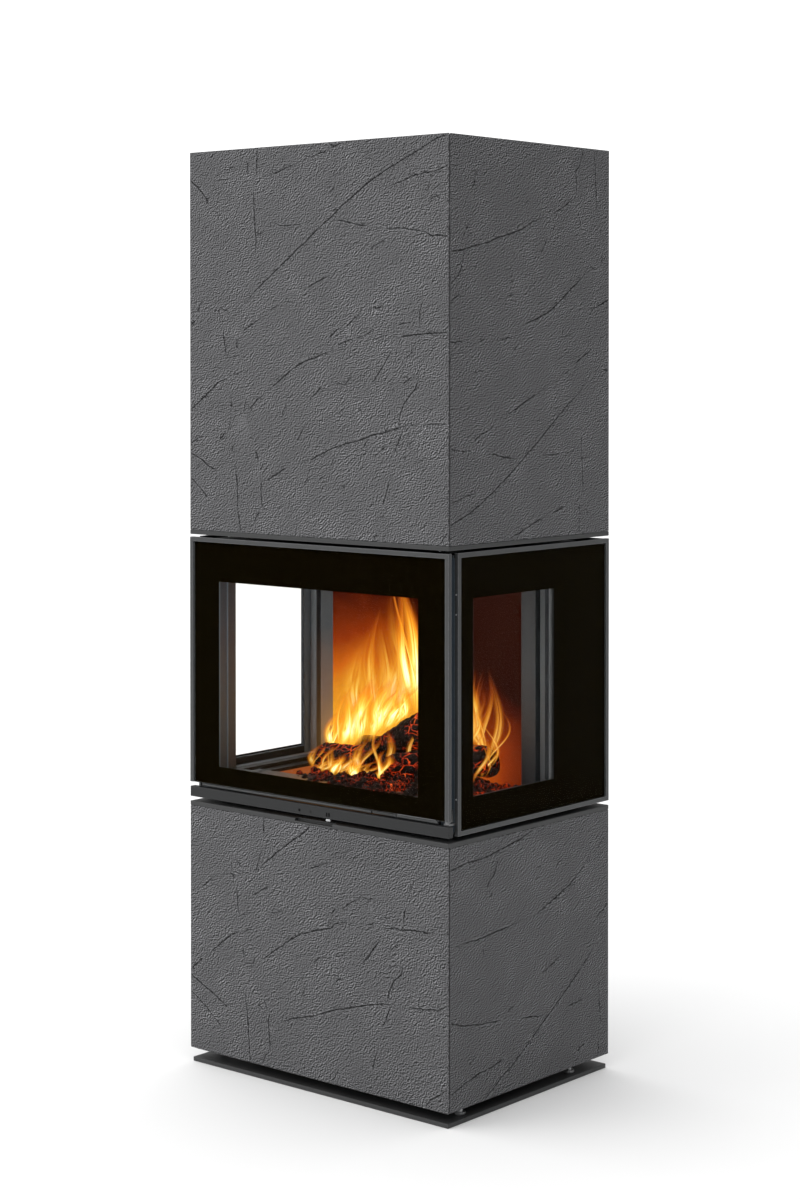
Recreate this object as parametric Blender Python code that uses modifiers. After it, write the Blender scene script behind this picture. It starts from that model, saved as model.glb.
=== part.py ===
"""Heat storage fireplace, modelled at its real size as an assembly of separate pieces.

A steel firebox, glazed on three sides, stands between two stone-clad blocks. The lower block is a
pedestal with the air duct, the upper one holds storage stones round the flue. The front door turns on a
vertical axis at its right edge, a latch lever draws the latch rod along the door's bottom, and a lever
below the sill slides the air damper. Metres, +Z up, +X to the right, -Y to the front, origin on the
floor below the middle.
"""

import math

import bmesh
import bpy
from mathutils import Matrix

# Gaps
SEAT = 0.0003  # between pieces that touch
RUN = 0.0005  # between pieces that slide past each other
OVERRUN = 0.004  # how far a cutter reaches past the face it cuts
MERGE = 0.00001  # points closer than this are one

# Outer size
WIDTH = 0.620
DEPTH = 0.468

# Heights, from the floor up
BASE_THICKNESS = 0.008
BASE_GAP = 0.018
LOWER_SLAB_HEIGHT = 0.453
PLATE_THICKNESS = 0.008
SILL_GAP = 0.0085
SILL_HEIGHT = 0.019
DOOR_GAP = 0.0085
DOOR_HEIGHT = 0.456
PLATE_GAP = 0.005
UPPER_SLAB_HEIGHT = 0.700

# Stone cladding
SLAB_THICKNESS = 0.020
SLAB_ARRIS = 0.0010
MITRE_EDGE = 0.002  # blunt end of a front slab at the corner
MITRE_SEAM = 0.0025  # open seam behind it, along the side face

# Base and feet
BASE_INSET = 0.0035
PLATE_ARRIS = 0.0008
FOOT_RADIUS = 0.005
FOOT_PAD_RADIUS = 0.010
FOOT_PAD_HEIGHT = 0.004
FOOT_SIDE_INSET = 0.025
FOOT_FRONT_INSET = 0.0625
FOOT_REAR_INSET = 0.089

# Pedestal and upper frame
FRAME_SHEET = 0.003
FRAME_LEG = 0.030
FRAME_STEP = 0.001  # posts stand this far inside the ring they carry
LEDGE_UNDER_SLAB = 0.012
REAR_SHEET = 0.002
REAR_RECESS = 0.003

# Air inlet, duct and panel slots
INLET_RADIUS = 0.0625
INLET_WALL = 0.002
INLET_HEIGHT = 0.250
INLET_LENGTH = 0.029
INLET_FLANGE_WIDTH = 0.016
DUCT_WALL = 0.0015
DUCT_LAP = 0.010
DUCT_FRONT_CLEARANCE = 0.014
VENT_LENGTH = 0.060
VENT_HEIGHT = 0.006
VENT_PITCH = 0.090
VENT_COUNT = 5
VENT_DROP = 0.060

# Firebox base frame
RING_SIDE_INSET = 0.045
RING_FRONT_INSET = 0.036
RING_REAR_INSET = 0.039
RING_BAR = 0.020
RING_FRONT_BAR = 0.008
PAN_RISE = 0.004  # underside of the floor pan above the sill's underside
GUIDE_LEDGE = 0.006
GUIDE_BAR = 0.010
GUIDE_NOTCH_COUNT = 3
GUIDE_NOTCH_WIDTH = 0.060
GUIDE_NOTCH_PITCH = 0.120
GUIDE_NOTCH_HEIGHT = 0.005

# Air control
DAMPER_WIDTH = 0.300
DAMPER_DEPTH = 0.060
DAMPER_THICKNESS = 0.003
DAMPER_WINDOW_WIDTH = 0.055
DAMPER_WINDOW_DEPTH = 0.036
DAMPER_WINDOW_PITCH = 0.150
LEVER_X = 0.034
LEVER_WIDTH = 0.011
LEVER_THICKNESS = 0.003
LEVER_NOSE_HEIGHT = 0.0045
LEVER_NOSE_LENGTH = 0.011
LEVER_NOSE_ROUND = 0.0015
LEVER_REACH = 0.084
LEVER_BOSS_LENGTH = 0.024
LEVER_TRAVEL = 0.067
LEVER_SIDE_PLAY = 0.002
RECESS_SIDE_PLAY = 0.0065
RECESS_DEPTH = 0.010
RECESS_HEIGHT = 0.005

# Sill
SILL_DEPTH = 0.013
SILL_ARRIS = 0.0008
SILL_LUG_WIDTH = 0.040
SILL_LUG_HEIGHT = 0.009
SILL_LUG_X = 0.200

# Firebox body
FIREBOX_SETBACK = 0.0265  # its front behind the door's front
PAN_SHEET = 0.003
PAN_SIDE_INSET = 0.0032
PAN_REAR_INSET = 0.039
ROOF_SHEET = 0.004
ROOF_DROP = 0.0045  # roof plate below the door's top
ROOF_LIP_HEIGHT = 0.036
ROOF_RAIL_WIDTH = 0.020
ROOF_RAIL_X = 0.190
ROOF_RAIL_FRONT_INSET = 0.104
ROOF_RAIL_REAR_INSET = 0.084
REAR_SPACE = 0.160  # from the back of the chamber to the back of the object
POST_DEPTH = 0.0362
POST_WALL = 0.003

# Hearth
HEARTH_RISE = 0.0262
HEARTH_FRONT = 0.0993  # its front edge behind the door's front
RIM_HEIGHT = 0.0397
RIM_SIDE_WIDTH = 0.043
RIM_STEP_WIDTH = 0.021
RIM_STEP_DEPTH = 0.0075
RIM_WALL = 0.004
RIM_CHANNEL_HALF_WIDTH = 0.200
RIM_SLOT_WIDTH = 0.030
RIM_SLOT_HEIGHT = 0.007
RIM_SLOT_PITCH = 0.050
RIM_SLOT_COUNT = 7
RIM_SLOT_DROP = 0.0045

# Grate and ash pan
GRATE_WIDTH = 0.200
GRATE_DEPTH = 0.110
GRATE_THICKNESS = 0.0112
GRATE_LEDGE = 0.010
GRATE_SLOT_WIDTH = 0.008
GRATE_SLOT_PITCH = 0.020
GRATE_SLOT_COUNT = 9
GRATE_MARGIN = 0.012
WELL_WALL = 0.002
WELL_DEPTH = 0.0595
WELL_SPREAD = 0.0045
WELL_CLEARANCE = 0.0035
ASH_PAN_WALL = 0.0015
ASH_PAN_PLAY = 0.0035

# Back wall and baffle
LINING_THICKNESS = 0.030
WALL_SHEET = 0.003
WALL_RETURN = 0.032
BAFFLE_THICKNESS = 0.020
BAFFLE_FRONT = 0.134
BAFFLE_RISE = 0.0055  # underside above the top of the window print
LUG_LENGTH = 0.020
LUG_REACH = 0.010
LUG_HEIGHT = 0.0052
LUG_END_INSET = 0.010

# Windows, print edges measured on the outer glass
PRINT_SIDE = 0.071
PRINT_BOTTOM = 0.034
PRINT_TOP = 0.080
SIDE_SETBACK = 0.026
TRIM_WIDTH = 0.008
TRIM_DEPTH = 0.008
GLASS_THICKNESS = 0.004
GLASS_RECESS = 0.0005
INNER_DEPTH = 0.0297
INNER_LEDGE_DEPTH = 0.016
INNER_FRONT_BORDER = 0.020
INNER_REAR_BORDER = 0.0215
INNER_BOTTOM_SILL = 0.0145  # opening's bottom below the print's
INNER_TOP_RISE = 0.0145
GLASS_LAP = 0.012

# Door
DOOR_FLANGE = 0.0032
DOOR_FLANGE_WIDTH = 0.048
DOOR_FLANGE_BOTTOM = 0.0235
DOOR_FLANGE_TOP = 0.0635
CARRIER_DEPTH = 0.0122
CARRIER_SIDE = 0.027
CARRIER_BOTTOM = 0.0038
CARRIER_TOP = 0.014
CARRIER_LAP = 0.010
CARRIER_LEDGE = 0.0057
SEAL_WIDTH = 0.008
SEAL_EDGE = 0.0015

# Hinge
HINGE_SIDE = 0.0115
HINGE_BACK = 0.012
PIN_RADIUS = 0.003
PIN_PLAY = 0.0002
KNUCKLE_RADIUS = 0.0058
KNUCKLE_UPPER_HEIGHT = 0.027
KNUCKLE_LOWER_HEIGHT = 0.014
PIN_END_GAP = 0.001
BRACKET_THICKNESS = 0.0035
BRACKET_HALF_WIDTH = 0.006
BRACKET_HEEL = 0.022
BRACKET_FOOT = 0.003
BRACKET_FOOT_WIDTH = 0.0075
BRACKET_FOOT_HEIGHT = 0.026
HINGE_WASHER_RADIUS = 0.0050

# Latch
ROD_RADIUS = 0.003
ROD_BACK = 0.009
ROD_BELOW_DOOR = 0.0042
ROD_LEFT = 0.025
ROD_RIGHT_X = 0.130
LEVER_SLOT_WIDTH = 0.060
RAIL_END = 0.030
LATCH_PIVOT_INSET = 0.0045
LATCH_PIVOT_RADIUS = 0.0018
LATCH_HUB_RADIUS = 0.0038
LATCH_ARM_WIDTH = 0.0050
LATCH_ARM_HEIGHT = 0.0050
LATCH_ARM_GAP = 0.0035
LATCH_TRAVEL = 0.010
ROD_GUIDE_WIDTH = 0.008
ROD_GUIDE_DEPTH = 0.004
ROD_GUIDE_CAP = 0.003
ROD_GUIDE_SHARES = (-0.70, -0.20, 0.30)  # of the half width
KEEPER_WIDTH = 0.016
KEEPER_WALL = 0.0030
KEEPER_HEIGHT = 0.0077

# Storage block
FLUE_RADIUS = 0.075
FLUE_WALL = 0.002
FLUE_FORWARD = 0.059  # axis before the chamber's back
FLUE_PLAY = 0.0005
NECK_DEPTH = 0.0145
NECK_LAP = 0.018
NECK_FLANGE_WIDTH = 0.010
NECK_FLANGE_THICKNESS = 0.003
STONE_SIDE_GAP = 0.050
STONE_FRONT_GAP = 0.044
STONE_REAR_GAP = 0.029
STONE_HEIGHT = 0.200
STONE_COUNT = 3
STONE_ARRIS = 0.003
COLLAR_LAP = 0.014
COLLAR_FLANGE_WIDTH = 0.020
COLLAR_BELOW_TOP = 0.002
COVER_BELOW_TOP = 0.012
COVER_HOLE_PLAY = 0.0015
COVER_SLOT_WIDTH = 0.008
COVER_SLOT_LENGTH = 0.240
COVER_SLOT_PITCH = 0.022
COVER_SLOT_COUNT = 6
COVER_SLOT_INSET = 0.045

ROUND_STEPS = 32
SMALL_ROUND_STEPS = 16

# Levels and planes that follow from the sizes
X_SIDE = WIDTH / 2
Y_FRONT = -DEPTH / 2
Y_BACK = DEPTH / 2
Z_LOWER = BASE_THICKNESS + BASE_GAP
Z_CAP = Z_LOWER + LOWER_SLAB_HEIGHT
Z_CAP_TOP = Z_CAP + PLATE_THICKNESS
Z_SILL = Z_CAP_TOP + SILL_GAP
Z_SILL_TOP = Z_SILL + SILL_HEIGHT
Z_DOOR = Z_SILL_TOP + DOOR_GAP
Z_DOOR_TOP = Z_DOOR + DOOR_HEIGHT
Z_PLATE = Z_DOOR_TOP + PLATE_GAP
Z_PLATE_TOP = Z_PLATE + PLATE_THICKNESS
Z_TOP = Z_PLATE_TOP + UPPER_SLAB_HEIGHT

X_INSIDE = X_SIDE - SLAB_THICKNESS - SEAT
Y_INSIDE = Y_FRONT + SLAB_THICKNESS + SEAT
Y_PANEL = Y_BACK - REAR_RECESS - REAR_SHEET
Z_PAN = Z_SILL + PAN_RISE
Z_FLOOR = Z_PAN + PAN_SHEET + SEAT
Z_ROOF = Z_DOOR_TOP - ROOF_DROP - ROOF_SHEET
Z_CEILING = Z_ROOF - SEAT
X_FIREBOX = X_SIDE - TRIM_DEPTH - SEAT
X_CHAMBER = X_FIREBOX - INNER_DEPTH
X_HEARTH = X_CHAMBER - RIM_SIDE_WIDTH
Y_FIREBOX = Y_FRONT + FIREBOX_SETBACK
Y_CHAMBER_BACK = Y_BACK - REAR_SPACE
Z_PRINT = Z_DOOR + PRINT_BOTTOM
Z_PRINT_TOP = Z_DOOR_TOP - PRINT_TOP
Z_BAFFLE = Z_PRINT_TOP + BAFFLE_RISE
Y_GRATE = (Y_FRONT + HEARTH_FRONT + Y_CHAMBER_BACK - GRATE_DEPTH) / 2
Y_GRATE_BACK = Y_GRATE + GRATE_DEPTH
WELL_HALF_WIDTH = GRATE_WIDTH / 2 - GRATE_LEDGE + WELL_SPREAD
Y_WELL = Y_GRATE + GRATE_LEDGE - WELL_SPREAD
Y_WELL_BACK = Y_GRATE_BACK - GRATE_LEDGE + WELL_SPREAD
DUCT_RADIUS = INLET_RADIUS - INLET_WALL - RUN
Y_DUCT = Y_WELL_BACK + WELL_WALL + DUCT_FRONT_CLEARANCE + DUCT_RADIUS
Y_FLUE = Y_CHAMBER_BACK - FLUE_FORWARD
Z_DAMPER = Z_PAN - RUN - DAMPER_THICKNESS
Y_DAMPER = Y_FRONT + RING_FRONT_INSET + RING_FRONT_BAR + RUN
X_HINGE = X_SIDE - HINGE_SIDE
Y_HINGE = Y_FRONT + HINGE_BACK
Y_ROD = Y_FRONT + ROD_BACK
Z_ROD = Z_DOOR - ROD_BELOW_DOOR

PARTS = "heat_storage_fireplace"
HELPERS = "heat_storage_fireplace_cutters"


def clear_scene():
    for obj in list(bpy.data.objects):
        bpy.data.objects.remove(obj)


def new_collection(name, hidden):
    made = bpy.data.collections.new(name)
    bpy.context.scene.collection.children.link(made)
    made.hide_render = hidden
    return made


def new_finish(name, colour, roughness, metallic=0.0, alpha=1.0):
    """A plain Principled material."""
    made = bpy.data.materials.new(name)
    made.use_nodes = True
    shader = made.node_tree.nodes["Principled BSDF"]
    shader.inputs["Base Color"].default_value = (*colour, 1.0)
    shader.inputs["Roughness"].default_value = roughness
    shader.inputs["Metallic"].default_value = metallic
    shader.inputs["Alpha"].default_value = alpha
    return made


def finishes():
    return {
        "stone": new_finish("dark_split_stone", (0.135, 0.135, 0.140), 0.75),
        "steel": new_finish("dark_painted_steel", (0.075, 0.075, 0.080), 0.45),
        "galvanised": new_finish("galvanised_sheet", (0.55, 0.56, 0.57), 0.40, 0.9),
        "bright": new_finish("bright_steel", (0.60, 0.60, 0.60), 0.30, 1.0),
        "iron": new_finish("cast_iron", (0.060, 0.058, 0.056), 0.65, 0.6),
        "brick": new_finish("firebrick", (0.45, 0.36, 0.27), 0.90),
        "storage": new_finish("storage_stone", (0.30, 0.28, 0.26), 0.90),
        "print_glass": new_finish("printed_glass", (0.010, 0.010, 0.010), 0.08, 0.0, 0.5),
        "heat_glass": new_finish("heat_glass", (0.85, 0.85, 0.83), 0.05, 0.0, 0.25),
        "rope": new_finish("seal_rope", (0.050, 0.050, 0.050), 0.95),
    }


def place(obj, collection, finish):
    collection.objects.link(obj)
    if finish:
        obj.data.materials.append(finish)
    return obj


def helper(obj):
    """Puts a cutter, or a shape to be joined, among the hidden helpers."""
    helpers.objects.link(obj)
    obj.hide_render = True
    obj.display_type = "WIRE"
    return obj


def box_object(name, x, y, z):
    """A box between two planes on each axis, with its origin at its middle."""
    sizes = [high - low for low, high in (x, y, z)]
    shape = bmesh.new()
    bmesh.ops.create_cube(shape, size=1.0)
    bmesh.ops.scale(shape, vec=sizes, verts=shape.verts)
    mesh = bpy.data.meshes.new(name)
    shape.to_mesh(mesh)
    shape.free()
    obj = bpy.data.objects.new(name, mesh)
    obj.location = [(low + high) / 2 for low, high in (x, y, z)]
    return obj


def cylinder_object(name, centre, axis, low, high, radius, steps=ROUND_STEPS):
    """A closed cylinder along X, Y or Z, its ends at low and high on that axis."""
    shape = bmesh.new()
    bmesh.ops.create_cone(
        shape, cap_ends=True, segments=steps, radius1=radius, radius2=radius, depth=high - low
    )
    turns = {"X": Matrix.Rotation(math.pi / 2, 3, "Y"), "Y": Matrix.Rotation(-math.pi / 2, 3, "X")}
    if axis in turns:
        bmesh.ops.rotate(shape, matrix=turns[axis], verts=shape.verts)
    for face in shape.faces:
        face.smooth = len(face.verts) < steps
    mesh = bpy.data.meshes.new(name)
    shape.to_mesh(mesh)
    shape.free()
    obj = bpy.data.objects.new(name, mesh)
    middle = (low + high) / 2
    u, v = centre
    obj.location = {"X": (middle, u, v), "Y": (u, middle, v), "Z": (u, v, middle)}[axis]
    return obj


def final_mesh(drawn):
    """The mesh that a curve or an object with modifiers comes to. The object is used up."""
    bpy.context.scene.collection.objects.link(drawn)
    graph = bpy.context.evaluated_depsgraph_get()
    mesh = bpy.data.meshes.new_from_object(drawn.evaluated_get(graph))
    bpy.data.objects.remove(drawn)
    return mesh


def outline_object(name, axis, outline, low, high, holes=()):
    """A flat outline, with any holes, given thickness along X, Y or Z.

    The outline is in the two other axes, in X, Y, Z order.
    """
    curve = bpy.data.curves.new(name, "CURVE")
    curve.dimensions = "2D"
    curve.fill_mode = "BOTH"
    curve.extrude = (high - low) / 2
    for points in (outline, *holes):
        spline = curve.splines.new("POLY")
        spline.points.add(len(points) - 1)
        for point, (u, v) in zip(spline.points, points):
            point.co = (u, v, 0.0, 1.0)
        spline.use_cyclic_u = True
    mesh = final_mesh(bpy.data.objects.new(name, curve))
    bpy.data.curves.remove(curve)
    shape = bmesh.new()
    shape.from_mesh(mesh)
    bmesh.ops.remove_doubles(shape, verts=shape.verts, dist=MERGE)
    bmesh.ops.recalc_face_normals(shape, faces=shape.faces)
    # Columns are where the outline's two axes and its thickness point.
    turns = {
        "X": Matrix(((0, 0, 1), (1, 0, 0), (0, 1, 0))),
        "Y": Matrix(((1, 0, 0), (0, 0, -1), (0, 1, 0))),
        "Z": Matrix.Identity(3),
    }
    bmesh.ops.rotate(shape, matrix=turns[axis], verts=shape.verts)
    shape.to_mesh(mesh)
    shape.free()
    mesh.shade_flat()
    mesh.name = name
    obj = bpy.data.objects.new(name, mesh)
    obj.location["XYZ".index(axis)] = (low + high) / 2
    return obj


def turned_object(name, profile, centre, steps=SMALL_ROUND_STEPS, ring=False):
    """A profile of (radius, height) points, run down its outer side, turned about a vertical axis."""
    line = bpy.data.meshes.new(name)
    edges = [(i, i + 1) for i in range(len(profile) - 1)]
    if ring:
        edges.append((len(profile) - 1, 0))
    line.from_pydata([(radius, 0.0, height) for radius, height in profile], edges, [])
    drawn = bpy.data.objects.new(name, line)
    screw = drawn.modifiers.new("turn", "SCREW")
    screw.steps = steps
    screw.render_steps = steps
    screw.use_merge_vertices = True
    screw.merge_threshold = MERGE
    mesh = final_mesh(drawn)
    bpy.data.meshes.remove(line)
    mesh.name = name
    smooth(mesh)
    obj = bpy.data.objects.new(name, mesh)
    obj.location = centre
    return obj


def smooth(mesh):
    """Smooth shading with the true corners kept sharp."""
    mesh.shade_smooth()
    mesh.set_sharp_from_angle(angle=math.radians(40))


def rectangle(low, high):
    return [(low[0], low[1]), (high[0], low[1]), (high[0], high[1]), (low[0], high[1])]


def circle(centre, radius, steps=ROUND_STEPS):
    turns = [math.tau * step / steps for step in range(steps)]
    return [(centre[0] + radius * math.cos(a), centre[1] + radius * math.sin(a)) for a in turns]


def widened(corners, step):
    """The two corners of a rectangle, moved out by a step."""
    (u0, v0), (u1, v1) = corners
    return (u0 - step, v0 - step), (u1 + step, v1 + step)


def mirrored(points):
    return [(-u, v) for u, v in reversed(points)]


def combine(obj, other, operation):
    """Cuts the helper from the piece, or joins it on."""
    helper(other)
    step = obj.modifiers.new(f"{operation.lower()}_{other.name}", "BOOLEAN")
    step.operation = operation
    step.solver = "EXACT"
    step.object = other
    return obj


def cut(obj, *others):
    for other in others:
        combine(obj, other, "DIFFERENCE")
    return obj


def join(obj, *others):
    for other in others:
        combine(obj, other, "UNION")
    return obj


def soften(obj, width, segments=1):
    """Rounds the edges. It comes before any cut."""
    bevel = obj.modifiers.new("edges", "BEVEL")
    bevel.width = width
    bevel.segments = segments
    bevel.limit_method = "ANGLE"
    bevel.angle_limit = math.radians(30)
    return obj


def centred(middle, size):
    return middle - size / 2, middle + size / 2


def row(count, pitch, middle=0.0):
    """Places of equal pitch about a middle."""
    return [middle + (i - (count - 1) / 2) * pitch for i in range(count)]


def add_box(name, x, y, z, finish):
    return place(box_object(name, x, y, z), parts, finish)


def add_outline(name, axis, outline, low, high, finish, holes=()):
    return place(outline_object(name, axis, outline, low, high, holes), parts, finish)


def add_turned(name, profile, centre, finish, steps=SMALL_ROUND_STEPS, ring=False):
    return place(turned_object(name, profile, centre, steps, ring), parts, finish)


def both_sides(x):
    """The range of X as it is on the right, and mirrored to the left."""
    return {"right": x, "left": (-x[1], -x[0])}


def carry(empty, *objects):
    """Hangs pieces on an empty that stands on their joint's axis, where they already are."""
    for obj in objects:
        obj.parent = empty
        obj.location -= empty.location


def joint_empty(name, location, parent=None):
    empty = bpy.data.objects.new(name, None)
    parts.objects.link(empty)
    empty.location = location
    if parent:
        carry(parent, empty)
    return empty


# Stone cladding

def front_slab(name, z, finish):
    """A slab across the front, its ends mitred behind a narrow blunt edge."""
    run = SLAB_THICKNESS - MITRE_EDGE
    right = [
        (X_SIDE, Y_FRONT),
        (X_SIDE, Y_FRONT + MITRE_EDGE),
        (X_SIDE - run, Y_FRONT + SLAB_THICKNESS),
    ]
    outline = right + mirrored(right)
    return soften(add_outline(name, "Z", outline, *z, finish), SLAB_ARRIS)


def side_slab(name, side, z, finish):
    """A slab along one side, its front end mitred along the front slab's."""
    start = Y_FRONT + MITRE_EDGE + MITRE_SEAM
    outline = [
        (X_SIDE, start),
        (X_SIDE, Y_BACK),
        (X_SIDE - SLAB_THICKNESS, Y_BACK),
        (X_SIDE - SLAB_THICKNESS, start + SLAB_THICKNESS),
    ]
    if side == "left":
        outline = mirrored(outline)
    return soften(add_outline(name, "Z", outline, *z, finish), SLAB_ARRIS)


def cladding(prefix, z, finish):
    front_slab(f"{prefix}_front_slab", z, finish)
    for side in ("left", "right"):
        side_slab(f"{prefix}_{side}_slab", side, z, finish)


# Pedestal

def angle_post(name, x, y, leg, wall, z):
    """An angle section whose outer corner is at x, y, open towards the middle of the object."""
    inward_x = -math.copysign(1, x)
    inward_y = -math.copysign(1, y)
    outline = [
        (x, y),
        (x + inward_x * leg, y),
        (x + inward_x * leg, y + inward_y * wall),
        (x + inward_x * wall, y + inward_y * wall),
        (x + inward_x * wall, y + inward_y * leg),
        (x, y + inward_y * leg),
    ]
    return outline_object(name, "Z", outline, *z)


def corner_posts(prefix, z):
    """Four angle posts just inside the cladding."""
    return [
        angle_post(
            f"{prefix}_post_{index}", x, y, FRAME_LEG, FRAME_SHEET, z
        )
        for index, (x, y) in enumerate(
            (x, y)
            for x in (-X_INSIDE + FRAME_STEP, X_INSIDE - FRAME_STEP)
            for y in (Y_INSIDE + FRAME_STEP, Y_PANEL - SEAT - FRAME_STEP)
        )
    ]


def frame_ring():
    """The outer and inner outline of the ring on top of the posts."""
    back = Y_PANEL - SEAT
    outer = rectangle((-X_INSIDE, Y_INSIDE), (X_INSIDE, back))
    x = X_INSIDE - FRAME_LEG
    return outer, rectangle((-x, Y_INSIDE + FRAME_LEG), (x, back - FRAME_LEG))


def base_and_feet(finish):
    base = add_box(
        "base_plate",
        (-X_SIDE + BASE_INSET, X_SIDE - BASE_INSET),
        (Y_FRONT + BASE_INSET, Y_BACK - BASE_INSET),
        (0.0, BASE_THICKNESS),
        finish["steel"],
    )
    soften(base, PLATE_ARRIS)
    top = Z_LOWER - FRAME_SHEET - SEAT - BASE_THICKNESS - SEAT
    profile = [
        (0.0, top),
        (FOOT_RADIUS, top),
        (FOOT_RADIUS, FOOT_PAD_HEIGHT),
        (FOOT_PAD_RADIUS, FOOT_PAD_HEIGHT),
        (FOOT_PAD_RADIUS, 0.0),
        (0.0, 0.0),
    ]
    places = {"front": Y_FRONT + FOOT_FRONT_INSET, "rear": Y_BACK - FOOT_REAR_INSET}
    for row_name, y in places.items():
        for side, x in (("left", -X_SIDE + FOOT_SIDE_INSET), ("right", X_SIDE - FOOT_SIDE_INSET)):
            name = f"levelling_foot_{row_name}_{side}"
            add_turned(name, profile, (x, y, BASE_THICKNESS + SEAT), finish["bright"])


def pedestal(finish):
    """Welded frame of a floor sheet, four posts and a top ring, with its cladding and rear panel."""
    ledge = SLAB_THICKNESS - LEDGE_UNDER_SLAB
    frame = add_box(
        "pedestal_frame",
        (-X_SIDE + ledge, X_SIDE - ledge),
        (Y_FRONT + ledge, Y_PANEL + REAR_SHEET),
        (Z_LOWER - FRAME_SHEET, Z_LOWER),
        finish["steel"],
    )
    top = Z_CAP - SEAT
    outer, inner = frame_ring()
    ring = outline_object("pedestal_ring", "Z", outer, top - FRAME_SHEET, top, [inner])
    half = FRAME_SHEET / 2
    join(frame, *corner_posts("pedestal", (Z_LOWER - half, top - half)), ring)
    cladding("lower", (Z_LOWER + SEAT, Z_CAP - SEAT), finish["stone"])
    lower_rear_panel(finish["steel"])


def lower_rear_panel(finish):
    """Steel sheet between the side slabs, with the inlet's hole and a row of vents above it."""
    z = (Z_LOWER + SEAT, Z_CAP - SEAT)
    vents = []
    for x in row(VENT_COUNT, VENT_PITCH):
        across = centred(x, VENT_LENGTH)
        up = centred(z[1] - VENT_DROP, VENT_HEIGHT)
        vents.append(rectangle((across[0], up[0]), (across[1], up[1])))
    inlet = circle((0.0, INLET_HEIGHT), INLET_RADIUS + RUN)
    add_outline(
        "lower_rear_panel",
        "Y",
        rectangle((-X_INSIDE, z[0]), (X_INSIDE, z[1])),
        Y_PANEL,
        Y_PANEL + REAR_SHEET,
        finish,
        [inlet, *vents],
    )


def air_inlet(finish):
    """Spigot with a flange on the rear panel, and the mitred duct from it up to the firebox."""
    y_end = Y_BACK
    flange_y = (Y_PANEL + REAR_SHEET + SEAT, Y_BACK - SEAT)
    spigot = cylinder_object(
        "air_inlet_spigot", (0.0, INLET_HEIGHT), "Y", Y_BACK - INLET_LENGTH, y_end, INLET_RADIUS
    )
    place(spigot, parts, finish["galvanised"])
    join(
        spigot,
        cylinder_object(
            "inlet_flange", (0.0, INLET_HEIGHT), "Y", *flange_y, INLET_RADIUS + INLET_FLANGE_WIDTH
        ),
    )
    cut(
        spigot,
        cylinder_object(
            "inlet_bore",
            (0.0, INLET_HEIGHT),
            "Y",
            Y_BACK - INLET_LENGTH - OVERRUN,
            y_end + OVERRUN,
            INLET_RADIUS - INLET_WALL,
        ),
    )
    reach = Y_BACK - INLET_LENGTH + DUCT_LAP
    rise = Z_CAP_TOP - SEAT
    duct = cylinder_object(
        "air_duct", (0.0, Y_DUCT), "Z", INLET_HEIGHT - DUCT_RADIUS, rise, DUCT_RADIUS
    )
    place(duct, parts, finish["galvanised"])
    join(duct, cylinder_object("duct_arm", (0.0, INLET_HEIGHT), "Y", Y_DUCT, reach, DUCT_RADIUS))
    bore = DUCT_RADIUS - DUCT_WALL
    cut(
        duct,
        cylinder_object(
            "duct_bore", (0.0, Y_DUCT), "Z", INLET_HEIGHT - DUCT_RADIUS + DUCT_WALL, rise + OVERRUN, bore
        ),
        cylinder_object("duct_arm_bore", (0.0, INLET_HEIGHT), "Y", Y_DUCT, reach + OVERRUN, bore),
    )


def lower_cap_plate(finish):
    """Plate over the pedestal, open for duct and ash well, with a finger recess below the air lever."""
    plate = add_box("lower_cap_plate", (-X_SIDE, X_SIDE), (Y_FRONT, Y_BACK), (Z_CAP, Z_CAP_TOP), finish)
    soften(plate, PLATE_ARRIS)
    through = (Z_CAP - OVERRUN, Z_CAP_TOP + OVERRUN)
    half = WELL_HALF_WIDTH + WELL_WALL + WELL_CLEARANCE
    left = LEVER_X - LEVER_TRAVEL - LEVER_WIDTH / 2 - RECESS_SIDE_PLAY
    right = LEVER_X + LEVER_WIDTH / 2 + RECESS_SIDE_PLAY
    cut(
        plate,
        box_object(
            "cap_ash_cut",
            (-half, half),
            (Y_WELL - WELL_WALL - WELL_CLEARANCE, Y_WELL_BACK + WELL_WALL + WELL_CLEARANCE),
            through,
        ),
        cylinder_object("cap_duct_cut", (0.0, Y_DUCT), "Z", *through, DUCT_RADIUS + RUN),
        box_object(
            "cap_recess_cut",
            (left, right),
            (Y_FRONT - OVERRUN, Y_FRONT + RECESS_DEPTH),
            (Z_CAP_TOP - RECESS_HEIGHT, Z_CAP_TOP + OVERRUN),
        ),
    )


# Firebox

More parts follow.
